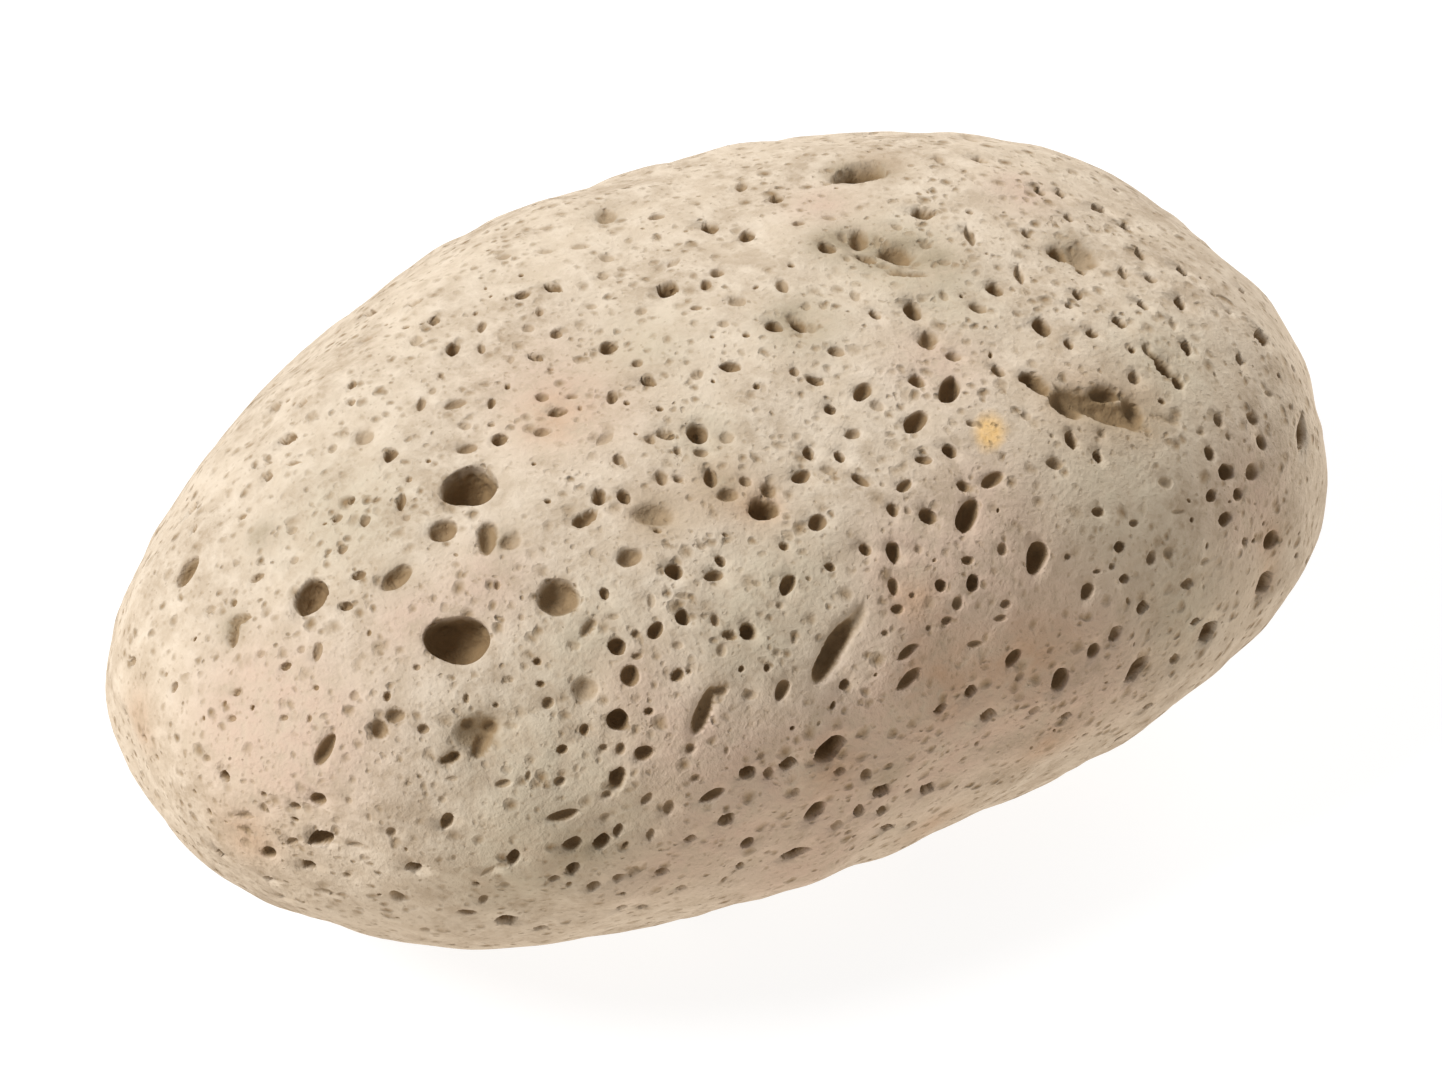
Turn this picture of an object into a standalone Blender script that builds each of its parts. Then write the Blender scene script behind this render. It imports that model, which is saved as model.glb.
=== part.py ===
# A pumice stone for the bath: one lump of foamed rock, rubbed into a rounded block and
# pitted all over by burst gas bubbles. Metres, +Z up. It lies on the one patch that is
# worn flat, with the origin under the middle of its box.

import math
import random

import bmesh
import bpy
import numpy as np
from mathutils import Matrix

MM = 0.001

# The plain form is a rounded block about its own centre. Squareness 2 is an ellipsoid.
HALF_LENGTH = 52.0 * MM
HALF_WIDTH = 31.8 * MM
HALF_HEIGHT = 24.3 * MM
SQUARENESS = 2.4
FLAT_SHARE = 0.96  # the underside is worn flat at this share of the half height
FACES_PER_SIDE = 14  # the block starts as a cube, each side a grid of this many squares

# Broad swells and hollows: direction on the unit ball, and share of the radius.
SWELL_REACH = math.radians(32)
SWELLS = (
    ((0.95, -0.32, 0.00), -0.025),
    ((0.91, 0.22, 0.35), -0.03),
    ((0.56, 0.62, 0.54), -0.025),
    ((-0.25, 0.83, 0.50), 0.015),
    ((-0.95, 0.32, 0.00), -0.035),
    ((-0.98, 0.07, -0.17), 0.025),
    ((-0.91, -0.22, -0.35), -0.03),
    ((-0.56, -0.62, -0.54), -0.07),
    ((0.25, -0.83, -0.50), -0.065),
    ((0.78, -0.59, -0.22), 0.045),
)

# The back left corner is rubbed off: a soft flat with this outward direction and distance
# from the form's centre. A higher edge power makes its rim sharper.
RUBBED_TOWARDS = (-0.47, 0.70, 0.53)
RUBBED_DISTANCE = 36.5 * MM
RUBBED_EDGE = 12

# Low lumps left by the rubbing: a wave's direction, length and height.
LUMPS = (
    ((0.9, 0.4, 0.2), 27 * MM, 0.22 * MM),
    ((-0.3, 0.9, 0.4), 21 * MM, 0.18 * MM),
    ((0.4, -0.5, 0.8), 17 * MM, 0.16 * MM),
    ((0.7, 0.6, -0.4), 12 * MM, 0.10 * MM),
)

# The pits on the show side are laid out as seen by an eye in front, above and to the left.
EYE_TURN = math.radians(-29)
EYE_RISE = math.radians(45)
EYE_DISTANCE = 480.7 * MM
SIGHT_RIGHT = 0.4 * MM  # the sight line passes this far right of the form's centre
SIGHT_UP = -0.15 * MM
MOST_STRETCH = 1.7  # a pit seen aslant is at most this much longer than it looks

# Each row: right and up of the sight line, long and short size, turn in degrees, and depth.
# Lengths are in millimetres.
SHOW_PITS = (
    (-20.2, 4.3, 4.9, 3.4, 0, 1.8),
    (-21.1, -8.0, 5.3, 4.1, 0, 2.3),
    (-13.0, -4.6, 3.6, 3.3, 40, 1.2),
    (-32.9, -4.5, 3.2, 2.8, 90, 1.1),
    (-42.7, -2.5, 3.2, 1.3, 52, 0.9),
    (-26.0, -3.0, 3.2, 1.6, 45, 0.8),
    (-22.3, 0.8, 2.5, 1.9, 30, 0.9),
    (-18.5, 0.1, 2.8, 2.0, 90, 1.0),
    (-39.1, -7.2, 2.8, 1.4, 85, 0.8),
    (-31.8, -16.9, 2.9, 1.5, 60, 1.1),
    (-10.8, -12.0, 2.4, 2.2, 0, 0.7),
    (-26.6, -14.6, 3.2, 1.7, 40, 0.9),
    (-18.9, -16.2, 3.8, 2.4, 70, 1.1),
    (-20.6, -14.9, 1.7, 1.4, 0, 1.0),
    (-32.0, -23.9, 2.5, 1.6, 35, 1.2),
    (-12.8, -22.2, 2.8, 1.2, 8, 0.8),
    (-8.2, -19.2, 2.0, 1.6, 85, 1.2),
    (-17.2, -30.6, 2.2, 1.3, 20, 0.9),
    (11.0, 29.7, 5.4, 2.8, -8, 1.5),
    (14.3, 23.6, 2.6, 1.6, 20, 1.1),
    (-4.3, 20.3, 1.9, 1.6, -20, 1.0),
    (6.3, 17.6, 1.8, 1.4, 0, 1.0),
    (28.5, 22.8, 4.2, 2.4, -5, 1.3),
    (25.9, 17.2, 1.8, 1.5, 90, 1.2),
    (36.1, 13.4, 3.3, 1.6, -28, 1.2),
    (31.1, 11.8, 2.8, 1.6, 15, 1.3),
    (33.4, 10.3, 2.6, 1.8, -10, 1.0),
    (25.6, 12.5, 2.2, 2.0, 0, 1.3),
    (28.1, 11.0, 3.4, 2.4, -10, 1.0),
    (46.6, 8.6, 3.6, 1.3, 80, 0.9),
    (-1.7, 8.6, 3.0, 2.4, 65, 1.3),
    (3.5, 2.6, 3.0, 2.1, 10, 1.5),
    (-5.3, 1.8, 3.6, 1.7, 10, 0.8),
    (18.4, 12.1, 2.8, 1.8, 65, 1.3),
    (15.7, 9.4, 2.5, 1.6, 55, 1.2),
    (19.9, 1.9, 3.1, 2.0, 55, 1.4),
    (21.8, 4.8, 2.2, 1.3, 30, 0.9),
    (-7.2, -1.4, 2.5, 1.6, 35, 0.8),
    (-10.4, 2.3, 2.6, 1.3, 50, 0.9),
    (9.5, -8.6, 6.8, 2.3, 55, 1.6),
    (-1.1, -14.0, 4.9, 1.7, 70, 1.3),
    (25.4, -1.6, 3.2, 1.9, 62, 1.4),
    (8.8, -16.9, 3.0, 2.0, 20, 1.5),
    (-8.2, -14.5, 2.1, 2.0, 0, 1.4),
    (-7.2, -10.9, 2.0, 1.7, 90, 1.0),
    (13.9, -1.0, 2.0, 1.4, 85, 1.0),
    (5.4, -3.6, 2.2, 1.3, 60, 1.0),
    (5.0, -12.1, 2.3, 1.3, 60, 0.9),
    (15.4, -10.9, 3.0, 1.2, 30, 0.9),
    (23.4, -9.5, 2.0, 1.2, 45, 0.8),
    (27.3, -11.3, 2.4, 1.7, 30, 1.0),
    (33.3, -10.4, 3.1, 1.4, 38, 1.0),
    (39.0, -7.4, 2.3, 1.5, 40, 1.0),
    (43.7, -3.5, 2.4, 1.7, 45, 1.0),
    (7.6, -21.8, 2.2, 1.4, 25, 1.0),
    (13.0, -20.2, 1.9, 1.4, 55, 1.0),
    (6.0, -25.2, 2.6, 1.2, 10, 0.9),
    (-0.9, -20.6, 2.6, 1.1, 22, 0.8),
)

# The far side, the ends and the underside are pitted in the same way, by chance.
FAR_SEED = 41
FAR_TRIALS = 128
FAR_STRAY = 0.25  # how far a pit leaves its even spiral, in radians
FAR_SMALLEST = 1.9 * MM
FAR_LARGEST = 5.2 * MM
FAR_BIAS = 2.5  # the higher this power, the fewer the large pits
FAR_SLIM = (0.5, 1.0)  # short size as a share of the long one
FAR_DEEP = (0.32, 0.5)  # depth as a share of the short size
FACING_EYE = 0.1  # a place whose normal turns this much to the eye belongs to the show side
REST_RADIUS = 9 * MM  # no pit comes this near the middle of the flat patch

# A bubble is an ellipsoid whose wall strays a little, and whose middle lies a little below
# the skin, both as shares of its size. Small bubbles have fewer faces.
STRAY = 0.07
SUNK = 0.12
FINE_FROM = 2.7 * MM
FINE_BUBBLE = (9, 4)  # segments around and down
PLAIN_BUBBLE = (6, 3)
STRAY_SEED = 5
CLEAR_BY = 1.2  # bubbles this many times their reach apart can share one cut

HALF_SIZE = np.array((HALF_LENGTH, HALF_WIDTH, HALF_HEIGHT))
FLOOR_LEVEL = -FLAT_SHARE * HALF_HEIGHT
TILTED_AXIS = (0.31, 0.52, 0.79)  # any axis does, to find two more square to a direction
CROSSWAYS = (0.2, 0.9, 0.35)
NORMAL_STEP = 0.01  # on the unit ball
HALVINGS = 40  # of the sight line, to find where it meets the stone
GOLDEN_ANGLE = math.pi * (3 - math.sqrt(5))


def unit(vector):
    return vector / np.linalg.norm(vector)


def form_radius(direction):
    """The distance from the form's centre to its surface, along HALF_SIZE * direction."""
    plain = (np.abs(direction) ** SQUARENESS).sum() ** (-1 / SQUARENESS)
    swell = 0.0
    for towards, share in SWELLS:
        angle = math.acos(max(-1.0, min(1.0, float(direction @ unit(np.array(towards))))))
        swell += share * math.exp(-((angle / SWELL_REACH) ** 2))
    point = HALF_SIZE * direction * plain
    radius = np.linalg.norm(point) * (1 + swell)
    facing = max(float(unit(point) @ unit(np.array(RUBBED_TOWARDS))), 0.001)
    flat = RUBBED_DISTANCE / facing
    radius = (radius**-RUBBED_EDGE + flat**-RUBBED_EDGE) ** (-1 / RUBBED_EDGE)
    for towards, length, height in LUMPS:
        radius += height * math.sin(2 * math.pi * float(point @ unit(np.array(towards))) / length)
    return radius


def form_point(direction):
    """The point of the form on the ray half_size * direction, before the flat is worn."""
    return unit(HALF_SIZE * direction) * form_radius(direction)


def worn_point(direction):
    point = form_point(direction)
    point[2] = max(point[2], FLOOR_LEVEL)
    return point


def inside(point):
    direction = unit(point / HALF_SIZE)
    return np.linalg.norm(point) < form_radius(direction)


def form_normal(direction):
    """The outward normal, from two short steps along the surface."""
    first = unit(np.cross(direction, TILTED_AXIS))
    chords = []
    for side in (first, np.cross(direction, first)):
        ahead = form_point(unit(direction + NORMAL_STEP * side))
        chords.append(ahead - form_point(unit(direction - NORMAL_STEP * side)))
    normal = unit(np.cross(*chords))
    return normal if normal @ direction > 0 else -normal


def eye_axes():
    """Right, up and back as seen from the eye."""
    turn = (math.sin(EYE_TURN), -math.cos(EYE_TURN))
    level = math.cos(EYE_RISE)
    back = np.array((turn[0] * level, turn[1] * level, math.sin(EYE_RISE)))
    right = np.array((math.cos(EYE_TURN), math.sin(EYE_TURN), 0.0))
    return right, np.cross(back, right), back


def seen_direction(right_of_sight, up_of_sight):
    """The direction of the surface point that the eye sees at this place of the sight plane."""
    right, up, back = eye_axes()
    aim = SIGHT_RIGHT * right + SIGHT_UP * up
    eye = aim + EYE_DISTANCE * back
    ray = unit(aim + right_of_sight * right + up_of_sight * up - eye)
    scaled = ray / HALF_SIZE
    deep = -float((eye / HALF_SIZE) @ scaled) / float(scaled @ scaled)
    near = 0.0
    if not inside(eye + deep * ray):
        return unit((eye + deep * ray) / HALF_SIZE)
    for _ in range(HALVINGS):
        middle = (near + deep) / 2
        if inside(eye + middle * ray):
            deep = middle
        else:
            near = middle
    return unit((eye + near * ray) / HALF_SIZE)


def show_pit(row):
    """Centre, long half axis, short half axis and depth vector of a pit on the show side."""
    x, y, long_size, short_size, turn, depth = row
    right, up, back = eye_axes()
    direction = seen_direction(x * MM, y * MM)
    normal = form_normal(direction)
    halves = []
    for size, angle in ((long_size, turn), (short_size, turn + 90)):
        flat = math.cos(math.radians(angle)) * right + math.sin(math.radians(angle)) * up
        laid = flat - back * float(flat @ normal) / float(back @ normal)
        stretch = min(np.linalg.norm(laid), MOST_STRETCH)
        halves.append(unit(laid) * stretch * size * MM / 2)
    return worn_point(direction), halves[0], halves[1], normal * depth * MM


def far_pits():
    """The same four values for each pit that the eye doesn't see."""
    chance = random.Random(FAR_SEED)
    back = eye_axes()[2]
    pits = []
    for index in range(FAR_TRIALS):
        height = 1 - 2 * (index + 0.5) / FAR_TRIALS
        angle = index * GOLDEN_ANGLE + chance.uniform(-FAR_STRAY, FAR_STRAY)
        ring = math.sqrt(1 - height * height)
        direction = np.array((height, ring * math.cos(angle), ring * math.sin(angle)))
        size = FAR_SMALLEST + (FAR_LARGEST - FAR_SMALLEST) * chance.random() ** FAR_BIAS
        slim = chance.uniform(*FAR_SLIM)
        turn = chance.uniform(0, math.pi)
        deep = chance.uniform(*FAR_DEEP)
        normal = form_normal(direction)
        centre = worn_point(direction)
        on_flat = centre[2] <= FLOOR_LEVEL
        if on_flat:
            normal = np.array((0.0, 0.0, -1.0))
        if normal @ back > FACING_EYE or on_flat and math.hypot(*centre[:2]) < REST_RADIUS:
            continue
        side = unit(np.cross(normal, CROSSWAYS))
        other = np.cross(normal, side)
        long_half = (math.cos(turn) * side + math.sin(turn) * other) * size / 2
        short_half = (math.cos(turn) * other - math.sin(turn) * side) * size * slim / 2
        pits.append((centre, long_half, short_half, normal * size * slim * deep))
    return pits


def rounded_block():
    """The worn form as a closed mesh: a cube of squares, each corner moved out to the form."""
    mesh = bmesh.new()
    bmesh.ops.create_cube(mesh, size=2)
    bmesh.ops.subdivide_edges(mesh, edges=mesh.edges, cuts=FACES_PER_SIDE - 1, use_grid_fill=True)
    for vertex in mesh.verts:
        even = np.tan(np.array(vertex.co) * math.pi / 4)
        vertex.co = worn_point(unit(even))
    bmesh.ops.triangulate(mesh, faces=mesh.faces)
    bmesh.ops.recalc_face_normals(mesh, faces=mesh.faces)
    return mesh


def add_bubble(mesh, pit, chance):
    centre, long_half, short_half, depth = pit
    if np.cross(long_half, short_half) @ depth < 0:
        short_half = -short_half
    shape = Matrix.Identity(4)
    for column, axis in enumerate((long_half, short_half, depth, centre)):
        for row in range(3):
            shape[row][column] = axis[row]
    around, down = FINE_BUBBLE if 2 * np.linalg.norm(long_half) > FINE_FROM else PLAIN_BUBBLE
    ball = bmesh.ops.create_uvsphere(mesh, u_segments=around, v_segments=down, radius=1)
    for vertex in ball["verts"]:
        point = vertex.co * (1 + chance.uniform(-STRAY, STRAY))
        point.z -= SUNK
        vertex.co = shape @ point


def apart(pit, others):
    reach = np.linalg.norm(pit[1])
    return all(
        np.linalg.norm(pit[0] - other[0]) > CLEAR_BY * (reach + np.linalg.norm(other[1]))
        for other in others
    )


def layers_of(pits):
    """The pits sorted into layers in which no two bubbles touch."""
    layers = []
    for pit in pits:
        free = next((layer for layer in layers if apart(pit, layer)), None)
        if free is None:
            layers.append([pit])
        else:
            free.append(pit)
    return layers


def mesh_object(name, mesh, shift):
    bmesh.ops.translate(mesh, verts=mesh.verts, vec=shift)
    data = bpy.data.meshes.new(name)
    mesh.to_mesh(data)
    mesh.free()
    made = bpy.data.objects.new(name, data)
    bpy.context.scene.collection.objects.link(made)
    return made


def pumice_material():
    material = bpy.data.materials.new("pumice")
    material.use_nodes = True
    shader = material.node_tree.nodes["Principled BSDF"]
    shader.inputs["Base Color"].default_value = (0.58, 0.47, 0.36, 1.0)
    shader.inputs["Roughness"].default_value = 0.95
    shader.inputs["Metallic"].default_value = 0.0
    return material


def make_stone():
    block = rounded_block()
    corners = np.array([vertex.co for vertex in block.verts])
    low, high = corners.min(axis=0), corners.max(axis=0)
    shift = (-(low[0] + high[0]) / 2, -(low[1] + high[1]) / 2, -low[2])
    stone = mesh_object("pumice_stone", block, shift)
    stone.data.materials.append(pumice_material())
    pits = [show_pit(row) for row in SHOW_PITS] + far_pits()
    chance = random.Random(STRAY_SEED)
    for number, layer in enumerate(layers_of(pits), start=1):
        bubbles = bmesh.new()
        for pit in layer:
            add_bubble(bubbles, pit, chance)
        bmesh.ops.recalc_face_normals(bubbles, faces=bubbles.faces)
        cutter = mesh_object(f"bubbles_{number}", bubbles, shift)
        cutter.hide_render = True
        cutter.display_type = "WIRE"
        cut = stone.modifiers.new(f"burst bubbles {number}", "BOOLEAN")
        cut.operation = "DIFFERENCE"
        cut.solver = "EXACT"
        cut.object = cutter


for leftover in list(bpy.data.objects):
    bpy.data.objects.remove(leftover)
make_stone()
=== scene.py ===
import math
import random

import bpy
import numpy as np
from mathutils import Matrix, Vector
from mathutils.geometry import delaunay_2d_cdt


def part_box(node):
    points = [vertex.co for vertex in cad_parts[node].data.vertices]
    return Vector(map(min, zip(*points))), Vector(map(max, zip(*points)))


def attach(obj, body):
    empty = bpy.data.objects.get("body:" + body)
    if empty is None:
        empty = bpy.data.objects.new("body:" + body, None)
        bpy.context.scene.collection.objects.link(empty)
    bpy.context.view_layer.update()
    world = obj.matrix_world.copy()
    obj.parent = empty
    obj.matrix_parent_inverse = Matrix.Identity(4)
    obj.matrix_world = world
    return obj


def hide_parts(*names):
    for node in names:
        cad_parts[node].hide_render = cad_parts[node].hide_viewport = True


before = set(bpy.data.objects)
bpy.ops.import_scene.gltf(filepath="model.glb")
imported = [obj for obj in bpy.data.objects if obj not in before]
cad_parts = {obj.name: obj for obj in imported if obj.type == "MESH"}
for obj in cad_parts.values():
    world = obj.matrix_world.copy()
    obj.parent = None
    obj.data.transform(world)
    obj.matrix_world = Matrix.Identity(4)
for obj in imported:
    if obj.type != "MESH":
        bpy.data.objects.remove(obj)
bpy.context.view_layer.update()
print("frame loaded")

mm = 0.001
wholeTurn = 6.28  # radians, near enough for a chance phase

# The worn block about its own middle, in millimetres, as the frame's solid has it.
stoneForm = {
    "half": (52.0, 31.8, 24.3),
    "squareness": 2.4,  # 2 is an ellipsoid
    "flatShare": 0.96,  # worn flat underneath at this share of the half height
    "swellReach": 32,  # degrees
    "swells": (  # direction, share of the radius
        ((0.95, -0.32, 0.00), -0.025),
        ((0.91, 0.22, 0.35), -0.03),
        ((0.56, 0.62, 0.54), -0.025),
        ((-0.25, 0.83, 0.50), 0.015),
        ((-0.95, 0.32, 0.00), -0.035),
        ((-0.98, 0.07, -0.17), 0.025),
        ((-0.91, -0.22, -0.35), -0.03),
        ((-0.56, -0.62, -0.54), -0.07),
        ((0.25, -0.83, -0.50), -0.065),
        ((0.78, -0.59, -0.22), 0.045),
    ),
    "rubbedTowards": (-0.47, 0.70, 0.53),
    "rubbedDistance": 36.5,
    "rubbedEdge": 12,  # the higher, the sharper
    "rubbedFacing": 0.001,  # a direction counts as facing it by this much at least
    "lumps": (  # direction, length, height
        ((0.9, 0.4, 0.2), 27, 0.22),
        ((-0.3, 0.9, 0.4), 21, 0.18),
        ((0.4, -0.5, 0.8), 17, 0.16),
        ((0.7, 0.6, -0.4), 12, 0.10),
    ),
    "rippleSeed": 3,
    "ripples": 26,
    "rippleLengths": (3.2, 9.0),
    "rippleHeight": 0.016,  # of the shortest; longer ones are higher in proportion
    "flatFade": 1.6,  # the ripples die out this far above the flat
    "flatNear": 0.01,  # what is this near above it counts as on it
    "hollowEdge": 1.6,  # how fast a rimless hollow dies out towards its outline
    "hollowThick": 6.0,  # and how far off its plane
}

# Where the camera stands: degrees round and up, and the lens, which sets the distance. Rows
# below are placed in the picture plane through its aim.
eyePlace = {
    "turn": -29,
    "rise": 45,
    "lens": 150.0,
    "sensorWidth": 36.0,
    "pixelsWide": 1442,
    "pixelsPerMm": 12.5,
    "aimRight": 0.4,
    "aimUp": -0.15,
    "leastFacing": 0.05,
    "mostStretch": 1.7,  # a pit seen aslant is at most this much longer than it looks
    "halvings": 40,  # how often the search for a seen place is halved
}

half = np.array(stoneForm["half"])
floorLevel = -stoneForm["flatShare"] * half[2]


def lengthOf(vectors):
    return np.linalg.norm(vectors, axis=-1)


def unit(vectors):
    return vectors / np.linalg.norm(vectors, axis=-1, keepdims=True)


# Rises evenly from 0 at the start to 1 a length further on.
def smooth(values, start=0, length=1):
    t = np.clip((values - start) / length, 0, 1)
    return t * t * (3 - 2 * t)


def evenTurns(count):
    return np.arange(count) * 2 * np.pi / count


# Each turn is a golden angle on from the last, so that they never line up.
def goldenTurns(count):
    return np.arange(count) * math.pi * (3 - math.sqrt(5))


# Directions at these heights along X, from -1 to 1, turned round it.
def aboutX(heights, turned):
    ring = np.sqrt(np.maximum(1 - heights**2, 0))
    return np.stack([heights, ring * np.cos(turned), ring * np.sin(turned)], axis=-1)


# A point of the worn block for each direction: the radius of a rounded block, times one plus
# the swells, met by the rubbed flat through a soft minimum, plus the lump waves.
def formPoints(directions):
    towards = unit(directions)
    power = stoneForm["squareness"]
    plain = half * towards * ((np.abs(towards) ** power).sum(1) ** (-1 / power))[:, None]
    radius = lengthOf(plain)
    away = plain / radius[:, None]
    swell = 0
    for middle, share in stoneForm["swells"]:
        angle = np.degrees(np.arccos(np.clip(towards @ unit(np.array(middle)), -1, 1)))
        swell = swell + share * np.exp(-((angle / stoneForm["swellReach"]) ** 2))
    radius = radius * (1 + swell)
    facing = np.maximum(away @ unit(np.array(stoneForm["rubbedTowards"])), stoneForm["rubbedFacing"])
    flat = stoneForm["rubbedDistance"] / facing
    edge = stoneForm["rubbedEdge"]
    radius = (radius**-edge + flat**-edge) ** (-1 / edge)
    for along, length, height in stoneForm["lumps"]:
        radius = radius + height * np.sin(2 * np.pi * (plain @ unit(np.array(along))) / length)
    points = away * radius[:, None]
    points[:, 2] = np.maximum(points[:, 2], floorLevel)
    return points


# The outward normal, from two short steps along the surface.
def formNormals(points, step=0.01):
    towards = unit(points / half)
    first = unit(np.cross(towards, (0.31, 0.52, 0.79)))  # any direction off the axes
    second = np.cross(towards, first)
    along = formPoints(towards + step * first) - formPoints(towards - step * first)
    across = formPoints(towards + step * second) - formPoints(towards - step * second)
    normals = unit(np.cross(along, across))
    return normals * np.sign((normals * towards).sum(1))[:, None]


turn, rise = math.radians(eyePlace["turn"]), math.radians(eyePlace["rise"])
eyeRight = np.array((math.cos(turn), math.sin(turn), 0.0))
eyeBack = np.array((math.sin(turn) * math.cos(rise), -math.cos(turn) * math.cos(rise), math.sin(rise)))
eyeUp = np.cross(eyeBack, eyeRight)
framesAway = eyePlace["lens"] / eyePlace["sensorWidth"]
eyeDistance = framesAway * eyePlace["pixelsWide"] / eyePlace["pixelsPerMm"]
eyeAim = eyePlace["aimRight"] * eyeRight + eyePlace["aimUp"] * eyeUp


# The place of the form seen at each row's right and up: the ray from the eye, halved again
# and again between its start and its nearest approach to the middle.
def seenPoints(rows):
    eye = eyeAim + eyeDistance * eyeBack
    rays = unit(eyeAim + rows[:, :1] * eyeRight + rows[:, 1:2] * eyeUp - eye)
    scaled = rays / half
    deep = -(scaled @ (eye / half)) / (scaled**2).sum(1)
    near = np.zeros(len(rows))
    for _ in range(eyePlace["halvings"]):
        middle = (near + deep) / 2
        points = eye + middle[:, None] * rays
        hit = lengthOf(points) < lengthOf(formPoints(points / half))
        deep = np.where(hit, middle, deep)
        near = np.where(hit, near, middle)
    return formPoints((eye + near[:, None] * rays) / half)


# The half axis of a pit that looks this long in the picture plane, laid on the surface.
def laidAxis(size, degrees, normals):
    turned = np.radians(degrees)[:, None]
    flat = np.cos(turned) * eyeRight + np.sin(turned) * eyeUp
    facing = np.maximum(normals @ eyeBack, eyePlace["leastFacing"])
    laid = flat - eyeBack * ((flat * normals).sum(1) / facing)[:, None]
    stretch = np.minimum(lengthOf(laid), eyePlace["mostStretch"])
    return unit(laid) * (stretch * size / 2)[:, None]


# Middles, both half axes and normals of rows of the picture plane laid on the form.
def laidRows(rows, gain=1):
    middles = seenPoints(rows)
    normals = formNormals(middles)
    wide = laidAxis(rows[:, 2] * gain, rows[:, 4], normals)
    tall = laidAxis(rows[:, 3] * gain, rows[:, 4] + 90, normals)
    return middles, wide, tall, normals


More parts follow.
